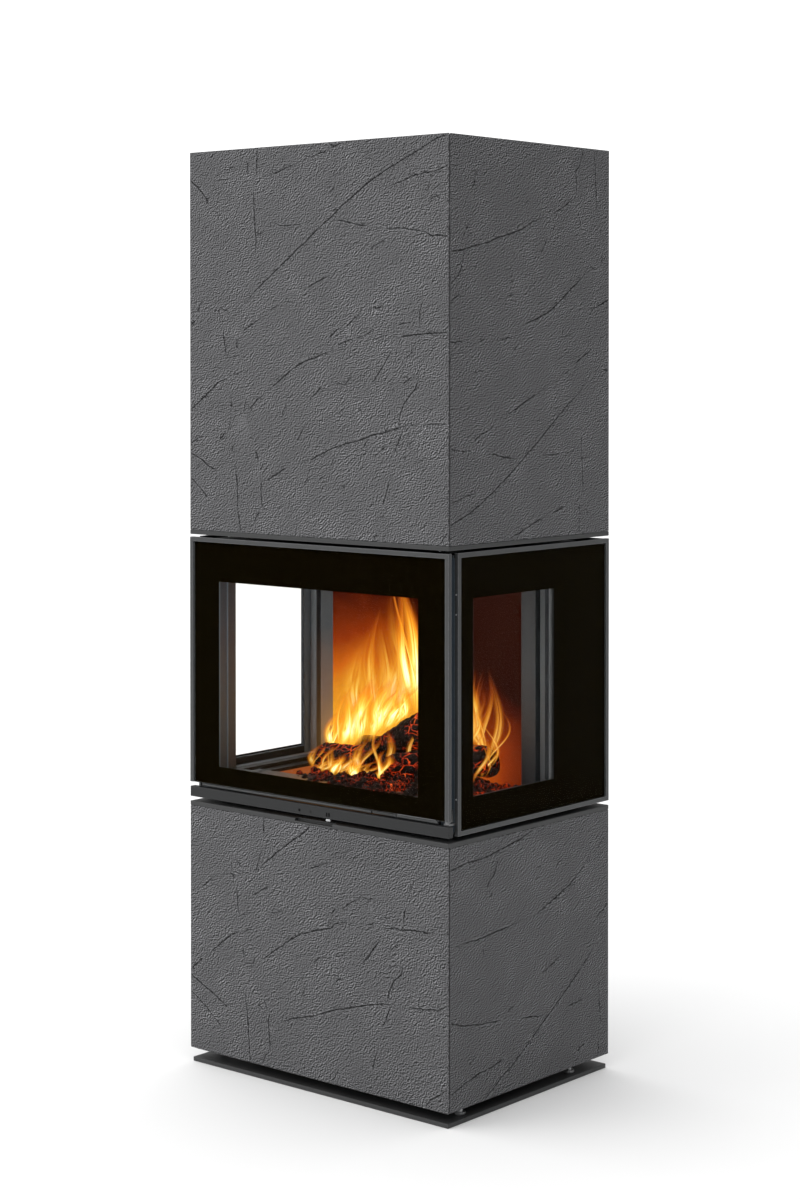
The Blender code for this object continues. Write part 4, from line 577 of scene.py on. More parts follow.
@dataclass(frozen=True)
class PaintedSteel:
    """Heat-resistant satin paint on sheet steel, with a painted highlight on its edges and, for the paints near the
    fire, the fire's light painted on as emission.
    """

    name: str = "stove_paint"
    tone: float = 0.058
    rough: float = 0.46
    # edge: strength of the painted edge highlight.
    edge: float = 0.7
    warm: float = -0.02
    dust: float = 0.25
    # Strength, reach and middle of the fire's light painted on as emission.
    glow: float = 0.0
    reach: Three = (0.30, 0.12, 0.26)
    middle: float = -0.14
    shine: float = 0.5
    round_over: float = 0.0011

    def build(self) -> Material:
        """Builds the material.

        Returns:
            The material.
        """
        material, graph, shader = new_material(self.name)
        here = graph.here()
        film = graph.group(surface_film(), Point=here, Grain=1100.0)
        edge_light = graph.group(worn_edge(), Point=here, Radius=self.round_over)
        tone = graph.spread(film["Blotch"], 0.3, 0.7, 0.92, 1.08)
        # Painted highlight along the rounded edges.
        tone = graph.times_plus(edge_light["Edge"], self.edge, tone)
        tone = graph.vary(film["Height"], 0.5, 0.25, tone)
        colour = graph.tint(grey(self.tone, self.warm)[:3], tone)
        dusty = graph.times(film["Dust"], self.dust)
        graph.fill(shader, Base_Color=graph.blend(dusty, colour, grey(0.16, 0.03)), Specular_IOR_Level=self.shine)
        gloss = graph.spread(film["Blotch"], 0.3, 0.7, self.rough - 0.05, self.rough + 0.07)
        graph.fill(shader, Roughness=graph.times_plus(dusty, 0.8, gloss))
        graph.fill(shader, Normal=graph.bump(film["Height"], 0.00012, 0.6, edge_light["Normal"]))
        # Emission paints the fire's light on the steel, fading away from the fire.
        if self.glow:
            width, depth, height = self.reach
            field = graph.group(glow_field(), Point=here, Width=width, Depth=depth, Height=height, Middle=self.middle)
            stops = ((0.0, (0.9, 0.42, 0.05)), (0.6, (0.24, 0.09, 0.008)), (1.0, (0, 0, 0)))
            warm = graph.ramp(field["Distance"], stops)
            graph.fill(shader, Emission_Color=warm, Emission_Strength=self.glow)
        return material


@dataclass(frozen=True)
class Metal:
    """Bare metal: galvanised sheet or bright steel."""

    name: str
    tone: float
    rough: float
    spangle: float
    brushed: float

    def build(self) -> Material:
        """Builds the material.

        Returns:
            The material.
        """
        material, graph, shader = new_material(self.name)
        here = graph.here()
        film = graph.group(surface_film(), Point=here, Grain=420.0)
        edge_light = graph.group(worn_edge(), Point=here, Radius=0.0008)
        flakes = graph.cells(here, 85.0)
        lines = graph.noise(graph.place(here, (6.0, 300.0, 300.0)), 4.0, 2.0, 0.6)
        tone = graph.vary(flakes, 0.4, self.spangle, 1.0)
        tone = graph.vary(lines, 0.5, self.brushed, tone)
        # Painted highlight along the rounded edges.
        tone = graph.times_plus(edge_light["Edge"], 0.3, tone)
        graph.fill(shader, Base_Color=graph.tint(grey(self.tone, -0.015)[:3], tone), Metallic=1.0)
        gloss = graph.vary(lines, 0.5, 0.25, self.rough)
        graph.fill(shader, Roughness=graph.times_plus(film["Dust"], 0.25, gloss))
        graph.fill(shader, Normal=graph.bump(film["Height"], 0.00008, 0.5, edge_light["Normal"]))
        return material


@dataclass(frozen=True)
class CastFinish:
    """A cast surface: iron, firebrick or storage stone."""

    name: str
    colour: Three
    grain: float
    relief: float
    rough: float
    speckle: float = 0.3
    soot: float = 0.0

    def build(self) -> Material:
        """Builds the material.

        Returns:
            The material.
        """
        material, graph, shader = new_material(self.name)
        here = graph.here()
        film = graph.group(surface_film(), Point=here, Grain=self.grain)
        edge_light = graph.group(worn_edge(), Point=here, Radius=0.0015)
        specks = graph.spread(graph.noise(here, self.grain * 1.6, 2.0, 0.7), 0.35, 0.65, -1.0, 1.0)
        tone = graph.times_plus(specks, self.speckle, graph.spread(film["Blotch"], 0.3, 0.7, 0.85, 1.12))
        # Painted highlight along the rounded edges.
        tone = graph.times_plus(edge_light["Edge"], 0.3, tone)
        sooty = graph.spread(graph.noise(here, 16.0, 5.0, 0.65), 0.35, 0.7, 0.0, self.soot)
        colour = graph.tint(self.colour, graph.math("MAXIMUM", tone, 0.1))
        graph.fill(shader, Base_Color=graph.blend(sooty, colour, grey(0.02, 0.1)))
        graph.fill(shader, Roughness=graph.spread(specks, -1.0, 1.0, self.rough, self.rough + 0.08))
        graph.fill(shader, Normal=graph.bump(film["Height"], self.relief, 0.7, edge_light["Normal"]))
        return material


@dataclass(frozen=True)
class GlowingBrick:
    """Firebrick with the light of the fire in front of it painted on as emission."""

    name: str = "glowing_brick"
    width: float = 0.40
    height: float = 0.27
    strength: float = 1.0
    stops: tuple = (
        (0.0, (1.0, 0.52, 0.05)),
        (0.30, (0.85, 0.36, 0.022)),
        (0.52, (0.62, 0.130, 0.007)),
        (0.72, (0.26, 0.030, 0.002)),
        (0.92, (0.055, 0.005, 0.001)),
        (1.0, (0.018, 0.002, 0.0005)),
    )

    def build(self) -> Material:
        """Builds the material.

        Returns:
            The material.
        """
        material, graph, shader = new_material(self.name)
        here = graph.here()
        field = graph.group(glow_field(), Point=here, Width=self.width, Height=self.height)
        film = graph.group(surface_film(), Point=here, Grain=330.0)
        x, _, z = graph.split(here)
        # Painted shade: the painted firelight is pushed darker on the right, most towards the top.
        shade = graph.times_plus(graph.spread(z, 0.60, 0.80), 0.25, 0.06)
        shade = graph.times(graph.spread(x, 0.04, 0.12), shade)
        reach = graph.times_plus(field["Distance"], 1 / 1.2, shade)
        grains = graph.spread(film["Height"], 0.3, 0.7, 0.9, 1.08)
        # Emission paints the fire's light on the brick, fading away from the fire.
        graph.fill(shader, Emission_Color=graph.tint(graph.ramp(reach, self.stops), grains))
        graph.fill(shader, Emission_Strength=self.strength)
        sooty = graph.spread(graph.noise(here, 12.0, 5.0, 0.65), 0.35, 0.7)
        graph.fill(shader, Base_Color=graph.blend(sooty, (0.006, 0.003, 0.002, 1.0), grey(0.003, 0.1)), Roughness=0.9)
        graph.fill(shader, Specular_IOR_Level=0.0)
        graph.fill(shader, Normal=graph.bump(film["Height"], 0.0006, 0.6))
        return material


@dataclass(frozen=True)
class ClearGlass:
    """Heat-proof glass with a faint warm tint."""

    name: str
    tint: Four = (0.995, 0.99, 0.98, 1.0)
    index: float = 1.035

    def build(self) -> Material:
        """Builds the material.

        Returns:
            The material.
        """
        material, graph, shader = new_material(self.name)
        haze = graph.spread(graph.noise(graph.here(), 7.0, 4.0, 0.6), 0.45, 0.8, 0.0, 0.012)
        graph.fill(shader, Roughness=haze)
        shader.inputs["Base Color"].default_value = self.tint
        shader.inputs["IOR"].default_value = self.index
        shader.inputs["Metallic"].default_value = 0.0
        shader.inputs["Transmission Weight"].default_value = 1.0
        rays = graph.add("ShaderNodeLightPath")
        thin = graph.math("MAXIMUM", rays.outputs["Is Shadow Ray"], rays.outputs["Is Diffuse Ray"])
        open_air = graph.add("ShaderNodeBsdfTransparent")
        mix = graph.add("ShaderNodeMixShader")
        graph.feed(mix.inputs[0], thin)
        graph.feed(mix.inputs[1], shader.outputs[0])
        graph.feed(mix.inputs[2], open_air.outputs[0])
        graph.feed(material.node_tree.nodes["Material Output"].inputs["Surface"], mix.outputs[0])
        return material


@dataclass(frozen=True)
class GlassPrint:
    """Black ceramic print on the back of a pane."""

    name: str = "black_print"

    def build(self) -> Material:
        """Builds the material.

        Returns:
            The material.
        """
        material, graph, shader = new_material(self.name)
        here = graph.here()
        thin = graph.spread(graph.noise(here, 240.0, 2.0), 0.3, 0.7, 0.8, 1.2)
        graph.fill(shader, Base_Color=graph.tint((0.0026, 0.0016, 0.0002), thin))
        graph.fill(shader, Roughness=graph.spread(thin, 0.8, 1.2, 0.5, 0.62))
        graph.fill(shader, Specular_IOR_Level=0.0)
        return material


@dataclass(frozen=True)
class RopeFinish:
    """Grey glass-fibre rope."""

    name: str = "glass_rope"

    def build(self) -> Material:
        """Builds the material.

        Returns:
            The material.
        """
        material, graph, shader = new_material(self.name)
        here = graph.here()
        yarn = graph.noise(graph.place(here, (1.0, 1.0, 1.0), (20, 35, 15)), 900.0, 3.0, 0.6)
        graph.fill(shader, Base_Color=graph.tint((0.105, 0.10, 0.095), graph.spread(yarn, 0.3, 0.7, 0.6, 1.35)))
        graph.fill(shader, Roughness=0.9)
        graph.fill(shader, Sheen_Weight=0.2, Normal=graph.bump(yarn, 0.0003, 0.7))
        return material


@dataclass(frozen=True)
class CharredWood:
    """Burning wood: black char in scales, with embers in its cracks and ash on top."""

    name: str = "charred_wood"
    scale: float = 75.0
    heat: float = 1.4
    ash: float = 0.14
    stops: Stops = (
        (0.0, (0, 0, 0)), (0.2, (0.11, 0.006, 0.001)), (0.6, (0.50, 0.035, 0.003)), (1.0, (1.0, 0.24, 0.02)))

    def build(self) -> Material:
        """Builds the material.

        Returns:
            The material.
        """
        material, graph, shader = new_material(self.name)
        here = graph.here()
        bent = graph.vector("ADD", here, graph.tint((0.012, 0.012, 0.012), graph.noise(here, 40.0, 2.0)))
        scales = graph.cells(graph.place(bent, (0.55, 1.0, 1.0)), self.scale, True)
        crack = graph.spread(scales, 0.0, 0.07, 1.0, 0.0)
        hot = graph.spread(graph.noise(here, 23.0, 4.0, 0.65), 0.46, 0.68)
        embers = graph.times(crack, hot)
        graph.fill(shader, Emission_Color=graph.ramp(embers, self.stops), Emission_Strength=self.heat)
        _, _, up = graph.split(graph.facing())
        flecks = graph.spread(graph.noise(here, 120.0, 4.0, 0.7), 0.5, 0.66, 0.0, self.ash)
        dusting = graph.times(graph.spread(up, 0.3, 0.95), flecks)
        char = graph.tint((0.010, 0.006, 0.004), graph.spread(graph.noise(here, 260.0, 3.0, 0.65), 0.3, 0.7, 0.5, 1.5))
        graph.fill(shader, Base_Color=graph.blend(dusting, char, grey(0.17, 0.08)), Roughness=0.85)
        graph.fill(shader, Specular_IOR_Level=0.1)
        graph.fill(shader, Normal=graph.bump(graph.spread(scales, 0.0, 0.3), 0.0025, 0.8))
        return material


class FlamePart(Enum):
    """The three kinds of flame."""

    CORE = "flame_core"
    TALL = "flame_tall"
    LICK = "flame_lick"


@dataclass(frozen=True)
class FlameFinish:
    """Burning gas: colour and density by the ribbon's own UV, u across and v along."""

    part: FlamePart
    strength: float
    density: float
    stops: tuple

    def build(self) -> Material:
        """Builds the material.

        Returns:
            The material.
        """
        material, graph, shader = new_material(self.part.value)
        u, v, _ = graph.split(graph.add("ShaderNodeUVMap", uv_map="ribbon").outputs[0])
        lane = graph.math("FLOOR", u)
        across = graph.math("FRACT", u)
        streak = graph.noise(graph.join(graph.times_plus(across, 3.6, graph.times(lane, 7.3)),
                                        graph.times(v, 0.9), lane), 1.7, 3.0, 0.55, 1.1)
        side = graph.math("ABSOLUTE", graph.times_plus(across, 2.0, -1.0))
        body = graph.spread(graph.vary(streak, 0.5, 0.9, side), 1.0, 0.15)
        foot = graph.spread(graph.vary(streak, 0.5, -0.5, v), 0.0, 0.26)
        tip = graph.spread(graph.vary(streak, 0.5, 0.8, v), 1.0, 0.35)
        veil = graph.spread(streak, 0.36, 0.62, 0.14, 1.0)
        mass = graph.times(graph.times(body, foot), graph.times(tip, veil))
        heat = graph.math("MULTIPLY_ADD", v, -0.35, graph.math("MULTIPLY_ADD", mass, 1.05, 0.18), clamp=True)
        graph.fill(shader, Emission_Color=graph.ramp(heat, self.stops), Emission_Strength=self.strength)
        graph.fill(shader, Base_Color=(0, 0, 0, 1))
        graph.fill(shader, Roughness=1.0, Specular_IOR_Level=0.0)
        graph.fill(shader, Alpha=graph.math("MULTIPLY", mass, self.density, clamp=True))
        return material


FLAMES = (
    FlameFinish(FlamePart.CORE, 1.65, 1.15, (
        (0.0, (0.55, 0.11, 0.006)), (0.28, (0.88, 0.34, 0.02)), (0.5, (1.0, 0.66, 0.12)), (0.78, (1.0, 0.93, 0.52)))),
    FlameFinish(FlamePart.TALL, 1.15, 0.72, (
        (0.0, (0.60, 0.13, 0.006)), (0.35, (0.88, 0.38, 0.03)), (0.65, (1.0, 0.66, 0.12)), (1.0, (1.0, 0.88, 0.42)))),
    FlameFinish(FlamePart.LICK, 1.15, 0.8, (
        (0.0, (0.50, 0.08, 0.005)), (0.4, (0.90, 0.33, 0.02)), (0.75, (1.0, 0.66, 0.14)), (1.0, (1.0, 0.90, 0.50)))),
)


# ---- pieces


def dress(finishes: Finishes, parts: Sequence[Sequence[str]]) -> None:
    """Gives CAD nodes their materials.

    Args:
        finishes: the materials by use.
        parts: rows of a use and the nodes that have it.
    """
    for use, *nodes in parts:
        for name in nodes:
            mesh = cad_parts[name].data
            for index in range(len(mesh.materials)):
                mesh.materials[index] = finishes[use]
            LOG.info("dressed %s in %s", name, finishes[use].name)


def add_piece(
    name: str, mesh: Mesh, material: Material, body: str, smooth: bool = False
) -> Piece:
    """Puts a finished mesh into the scene on its body.

    Args:
        name: the piece's name.
        mesh: its mesh, in place.
        material: its finish.
        body: the CAD body it rides on.
        smooth: shades it smooth.

    Returns:
        The object.
    """
    mesh.name = name
    mesh.materials.clear()
    mesh.materials.append(material)
    mesh.polygons.foreach_set("use_smooth", [smooth] * len(mesh.polygons))
    piece = bpy.data.objects.new(name, mesh)
    bpy.context.scene.collection.objects.link(piece)
    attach(piece, body)
    LOG.info("built %s: %d faces on %s", name, len(mesh.polygons), body)
    return piece


def mesh_of(rows: Rows, name: str) -> Mesh:
    """Turns a bmesh into a mesh with outward faces.

    Args:
        rows: the bmesh, which is freed.
        name: the mesh's name.

    Returns:
        The mesh.
    """
    bmesh.ops.recalc_face_normals(rows, faces=rows.faces)
    mesh = bpy.data.meshes.new(name)
    rows.to_mesh(mesh)
    rows.free()
    return mesh


def bridge(rows: Rows, a: Sequence[bmesh.types.BMVert], b: Sequence[bmesh.types.BMVert]) -> None:
    """Joins two closed rings of as many corners with quads."""
    for index in range(len(a)):
        rows.faces.new((a[index - 1], a[index], b[index], b[index - 1]))


def geometry_tree(recipe: Recipe, inputs: dict[str, tuple[str, object]]) -> Tree:
    """Builds a Geometry Nodes tree, under its recipe's name, that ends in Realize Instances and Set Material.

    Args:
        recipe: adds the nodes and returns the geometry.
        inputs: each named input's socket type and default.

    Returns:
        The tree.
    """
    tree = bpy.data.node_groups.get(recipe.__name__)
    if tree:
        return tree
    tree = bpy.data.node_groups.new(recipe.__name__, "GeometryNodeTree")
    for label, (kind, default) in {"Geometry": ("Geometry", None), **inputs, "Finish": ("Material", None)}.items():
        socket = tree.interface.new_socket(label, in_out="INPUT", socket_type="NodeSocket" + kind)
        if default is not None:
            socket.default_value = default
    tree.interface.new_socket("Geometry", in_out="OUTPUT", socket_type="NodeSocketGeometry")
    graph = Graph(tree)
    given = graph.add("NodeGroupInput").outputs
    solid = graph.step("RealizeInstances", Geometry=recipe(graph, given))
    painted = graph.step("SetMaterial", Geometry=solid, Material=given["Finish"])
    graph.feed(graph.add("NodeGroupOutput").inputs[0], painted)
    return tree


def grow(
    name: str, carrier: Mesh, tree: Tree, material: Material, **values: object
) -> Mesh:
    """Runs a tree on a carrier mesh and returns the plain result.

    Args:
        name: name of the result.
        carrier: points, edges or faces that the tree works on.
        tree: the Geometry Nodes tree.
        material: the finish it sets.
        values: its named inputs, with _ for a space.

    Returns:
        The evaluated mesh.
    """
    holder = bpy.data.objects.new(name + "_carrier", carrier)
    bpy.context.scene.collection.objects.link(holder)
    modifier = holder.modifiers.new("grow", "NODES")
    modifier.node_group = tree
    labels = {item.name: item.identifier for item in tree.interface.items_tree if item.in_out == "INPUT"}
    modifier[labels["Finish"]] = material
    for label, value in values.items():
        modifier[labels[label.replace("_", " ")]] = value
    evaluated = holder.evaluated_get(bpy.context.evaluated_depsgraph_get())
    mesh = bpy.data.meshes.new_from_object(evaluated)
    holder.modifiers.clear()
    bpy.data.objects.remove(holder)
    return mesh


SCREW_INPUTS = {
    "Radius": ("Float", 0.004), "Height": ("Float", 0.0018), "Facing": ("Vector", None), "Seed": ("Int", 0),
}
ROPE_INPUTS = {
    "Points": ("Int", 800), "Strands": ("Int", 3), "Turns": ("Float", 150.0),
    "Swing": ("Float", 0.0021), "Yarn": ("Float", 0.00145),
}


@made_by(geometry_tree, SCREW_INPUTS)
def screw_heads(graph: Graph, given: Outputs) -> Socket:
    """Sets a pan-head screw with a six-sided socket, turned at random, on every point.

    Args:
        graph: its graph.
        given: its inputs.

    Returns:
        The screws.
    """
    radius, height = given["Radius"], given["Height"]
    sizes = {"Radius_Top": graph.times(radius, 0.72), "Radius_Bottom": radius, "Depth": height}
    head = graph.step("MeshCone", Vertices=20, Side_Segments=2, **sizes)
    key = graph.step("MeshCylinder", Vertices=6, Radius=graph.times(radius, 0.46), Depth=height)
    lifted = graph.step("Transform", Geometry=key, Translation=graph.join(0.0, 0.0, graph.times(height, 0.75)))
    cut = graph.fill(graph.add("GeometryNodeMeshBoolean", operation="DIFFERENCE"), Mesh_1=head, Mesh_2=lifted)
    spots = graph.step("MeshToPoints", Mesh=given["Geometry"])
    placed = graph.step("InstanceOnPoints", Points=spots, Instance=cut.outputs[0], Rotation=given["Facing"])
    spin = graph.add("FunctionNodeRandomValue", data_type="FLOAT")
    graph.feed(spin.inputs[3], math.pi)
    graph.feed(spin.inputs["Seed"], given["Seed"])
    return graph.step("RotateInstances", Instances=placed, Rotation=graph.join(0.0, 0.0, spin.outputs[1]))


@made_by(geometry_tree, ROPE_INPUTS)
def twisted_rope(graph: Graph, given: Outputs) -> Socket:
    """Lays twisted strands along a ring of edges in an XZ plane, each copy of it at its own phase.

    Args:
        graph: its graph.
        given: its inputs.

    Returns:
        The rope.
    """
    path = graph.step("MeshToCurve", Mesh=given["Geometry"])
    even = graph.step("ResampleCurve", Curve=path, Count=given["Points"])
    copies = graph.add("GeometryNodeDuplicateElements", domain="SPLINE")
    graph.fill(copies, Geometry=even, Amount=given["Strands"])
    share = graph.math("DIVIDE", copies.outputs[1], given["Strands"])
    stored = graph.add("GeometryNodeStoreNamedAttribute", data_type="FLOAT", domain="CURVE")
    graph.fill(stored, Geometry=copies.outputs[0], Name="phase", Value=share)
    phase = graph.fill(graph.add("GeometryNodeInputNamedAttribute", data_type="FLOAT"), Name="phase").outputs[0]
    angle = graph.times(graph.times_plus(graph.step("SplineParameter"), given["Turns"], phase), math.tau)
    sideways = graph.vector("CROSS_PRODUCT", graph.step("InputTangent"), (0.0, 1.0, 0.0))
    out = graph.times(graph.math("COSINE", angle), given["Swing"])
    deep = graph.times(graph.math("SINE", angle), graph.times(given["Swing"], 0.58))
    shift = graph.vector("ADD", graph.tint(sideways, out), graph.join(0.0, deep, 0.0))
    wound = graph.step("SetPosition", Geometry=stored.outputs[0], Offset=shift)
    yarn = graph.step("CurvePrimitiveCircle", Resolution=7, Radius=given["Yarn"])
    return graph.step("SetShadeSmooth", Geometry=graph.step("CurveToMesh", Curve=wound, Profile_Curve=yarn))


@made_by(geometry_tree, {"Radius": ("Float", 0.001)})
def round_rods(graph: Graph, given: Outputs) -> Socket:
    """Turns every edge into a round rod with closed ends.

    Args:
        graph: its graph.
        given: its inputs.

    Returns:
        The rods.
    """
    circle = graph.step("CurvePrimitiveCircle", Resolution=14, Radius=given["Radius"])
    path = graph.step("MeshToCurve", Mesh=given["Geometry"])
    return graph.step("CurveToMesh", Curve=path, Profile_Curve=circle, Fill_Caps=True)


@made_by(geometry_tree, {"Density": ("Float", 5000.0), "Size": ("Float", 0.008), "Seed": ("Int", 3)})
def scattered_coals(graph: Graph, given: Outputs) -> Socket:
    """Scatters lumps over a surface at random sizes and turns, and roughens them.

    Args:
        graph: its graph.
        given: its inputs.

    Returns:
        The coals.
    """
    seed, size = given["Seed"], given["Size"]
    spots = graph.add("GeometryNodeDistributePointsOnFaces", distribute_method="RANDOM")
    graph.fill(spots, Mesh=given["Geometry"], Density=given["Density"], Seed=seed)
    lump = graph.step("MeshIcoSphere", Radius=size, Subdivisions=2)
    drawn = []
    for low, high in (((0, 0, 0), (math.tau,) * 3), ((0.45, 0.4, 0.35), (1.5, 1.1, 0.9))):
        node = graph.add("FunctionNodeRandomValue", data_type="FLOAT_VECTOR")
        drawn.append(graph.fill(node, Min=low, Max=high, Seed=seed).outputs[0])
    placed = graph.step("InstanceOnPoints", Points=spots.outputs[0], Instance=lump, Rotation=drawn[0], Scale=drawn[1])
    solid = graph.step("RealizeInstances", Geometry=placed)
    push = graph.times(graph.minus(graph.cells(graph.step("InputPosition"), 95.0), 0.45), graph.times(size, 0.9))
    return graph.step("SetPosition", Geometry=solid, Offset=graph.tint(graph.step("InputNormal"), push))


def points_mesh(name: str, points: Iterable[Sequence[float]], ring: bool = False) -> Mesh:
    """Makes a carrier of loose points, or of a closed ring of edges.

    Args:
        name: the mesh's name.
        points: the places.
        ring: joins them in a ring.

    Returns:
        The mesh.
    """
    places = list(points)
    edges = [(i, (i + 1) % len(places)) for i in range(len(places))] if ring else []
    mesh = bpy.data.meshes.new(name)
    mesh.from_pydata([tuple(p) for p in places], edges, [])
    return mesh


def lines_mesh(name: str, lines: Sequence[tuple[Sequence[float], Sequence[float]]]) -> Mesh:
    """Makes a carrier of straight edges.

    Args:
        name: the mesh's name.
        lines: the two ends of each edge.

    Returns:
        The mesh.
    """
    mesh = bpy.data.meshes.new(name)
    mesh.from_pydata([end for line in lines for end in line], [(2 * i, 2 * i + 1) for i in range(len(lines))], [])
    return mesh


# ---- stone cladding


class Face(Enum):
    """Which way a slab's visible face looks: its axis and sign."""

    FRONT = (1, -1)
    LEFT = (0, -1)
    RIGHT = (0, 1)


def within(value: float, low: float, high: float, inset: float) -> float:
    """Returns a value kept between low and high, with an inset from both."""
    return min(max(value, low + inset), high - inset)


@dataclass
class CarvedSlab:
    """A stone slab with its visible face cut by splits."""

    node: str
    face: Face
    splits: tuple
    half_width: float = 2.6 * MM
    depth: float = 1.7 * MM
    lip: float = 1.7
    rise: float = 0.30
    step: float = 3.6 * MM
    margin: float = 0.9 * MM
    rim: float = 0.4 * MM
    snap: float = 12.0 * MM
    fade: float = 4.5 * MM
    seam: float = 1.2 * MM
    waver: float = 0.8
    cell: float = 0.01
    seed: int = 11
    _cells: dict = field(default_factory=dict)

    def chains(self, low: Vector, high: Vector) -> Chains:
        """Resamples the splits into short wavering steps.

        Args:
            low: lowest u and z of the face.
            high: highest u and z.

        Returns:
            For each split, its points with their half width.
        """
        draw = random.Random(self.seed)
        chains = []
        for strength, *numbers in self.splits:
            corners = [Vector((u * MM, low.y + z * MM)) for u, z in zip(numbers[::2], numbers[1::2])]
            opened = [self.meet_edge(corners[end], low, high) for end in (0, -1)]
            total = sum((b - a).length for a, b in zip(corners, corners[1:]))
            steps = max(3, round(total / self.step))
            points = []
            for index in range(steps + 1):
                share = index / steps
                spot = self.along(corners, total * share)
                aside = 0.0 if index in (0, steps) else draw.uniform(-self.waver, self.waver) * MM
                spot += Vector((aside, draw.uniform(-self.waver, self.waver) * MM))
                spot.x = within(spot.x, low.x, high.x, self.margin)
                spot.y = within(spot.y, low.y, high.y, self.margin)
                ends = [5.0 * away + 0.15 for away, is_open in zip((share, 1 - share), opened) if not is_open]
                taper = min([1.0, *ends])
                half = self.half_width * (0.45 + 0.055 * strength) * taper * draw.uniform(0.65, 1.15)
                points.append((spot.x, spot.y, half))
            for end, is_open in ((0, opened[0]), (-1, opened[1])):
                if is_open:
                    u, z, _ = points[end]
                    closing = (self.beyond(u, low.x, high.x), self.beyond(z, low.y, high.y), 0.1 * MM)
                    points.insert(0 if end == 0 else len(points), closing)
            chains.append(points)
        return chains

    def beyond(self, value: float, low: float, high: float) -> float:
        """Moves a coordinate at the margin out to the rim, and leaves any other as it is."""
        close = self.margin + 1e-6
        return low + self.rim if value - low <= close else high - self.rim if high - value <= close else value

    def meet_edge(self, corner: Vector, low: Vector, high: Vector) -> bool:
        """Moves a split's end on to the face's edge if it is close.

        Args:
            corner: the end, which is moved.
            low: lowest u and z of the face.
            high: highest u and z.

        Returns:
            Whether it was moved.
        """
        moved = False
        for axis in (0, 1):
            for edge, inset in ((low[axis], self.margin), (high[axis], -self.margin)):
                if abs(corner[axis] - edge) < self.snap:
                    corner[axis] = edge + inset
                    moved = True
        return moved

    @staticmethod
    def along(corners: list[Vector], distance: float) -> Vector:
        """Walks along a line of corners.

        Args:
            corners: the line.
            distance: how far.

        Returns:
            The point there.
        """
        for a, b in zip(corners, corners[1:]):
            length = (b - a).length
            if distance <= length:
                return a.lerp(b, distance / length if length else 0.0)
            distance -= length
        return corners[-1].copy()

    def store(self, chains: Chains) -> None:
        """Files the steps of the splits by small cells, for quick depth lookups.

        Args:
            chains: the splits' points.
        """
        for chain in chains:
            for a, b in zip(chain, chain[1:]):
                cell = (int((a[0] + b[0]) / self.cell), int((a[1] + b[1]) / self.cell))
                for du in (-1, 0, 1):
                    for dz in (-1, 0, 1):
                        self._cells.setdefault((cell[0] + du, cell[1] + dz), []).append((a, b))

    def cut(self, u: float, z: float) -> float:
        """Finds how deep the splits cut at a point.

        Args:
            u: the point along the face.
            z: its height.

        Returns:
            The depth: 1 at the bottom, below 0 on a raised lip.
        """
        spot, found = Vector((u, z)), []
        for a, b in self._cells.get((int(2 * u / self.cell), int(2 * z / self.cell)), ()):
            start, line = Vector(a[:2]), Vector(b[:2]) - Vector(a[:2])
            share = min(max((spot - start).dot(line) / max(line.length_squared, 1e-12), 0.0), 1.0)
            half = a[2] + (b[2] - a[2]) * share
            away = (spot - start - line * share).length / half
            strength = min(1.0, (half / self.half_width) ** 0.7)
            if away < 1:
                found.append((1 - (1 + self.rise) * away) * strength)
            elif away < self.lip:
                found.append(-self.rise * (self.lip - away) / (self.lip - 1) * strength)
        return max(found, default=0.0)

    def lines(self, chains: Chains, low: Vector, high: Vector) -> tuple[list, list]:
        """Lays out the bottom, the two rims and the two lips of each split.

        Args:
            chains: the splits' points.
            low: lowest u and z of the face.
            high: highest u and z.

        Returns:
            2-D points, and the edges between them.
        """
        points: list[tuple[float, float]] = []
        edges: list[tuple[int, int]] = []
        lanes = (0.0, 1.0, -1.0, self.lip, -self.lip)
        for chain in chains:
            first = len(points)
            for index, (u, z, half) in enumerate(chain):
                before, after = chain[max(index - 1, 0)], chain[min(index + 1, len(chain) - 1)]
                along = Vector((after[0] - before[0], after[1] - before[1])).normalized()
                side = Vector((-along.y, along.x)) * half
                for share in lanes:
                    across = within(u + side.x * share, low.x, high.x, self.rim)
                    points.append((across, within(z + side.y * share, low.y, high.y, self.rim)))
            last = len(chain) - 1
            for index in range(last):
                for lane in range(len(lanes)):
                    edges.append((first + len(lanes) * index + lane, first + len(lanes) * (index + 1) + lane))
            for end in (0, last):
                edges += [(first + len(lanes) * end, first + len(lanes) * end + lane) for lane in (1, 2)]
        return points, edges

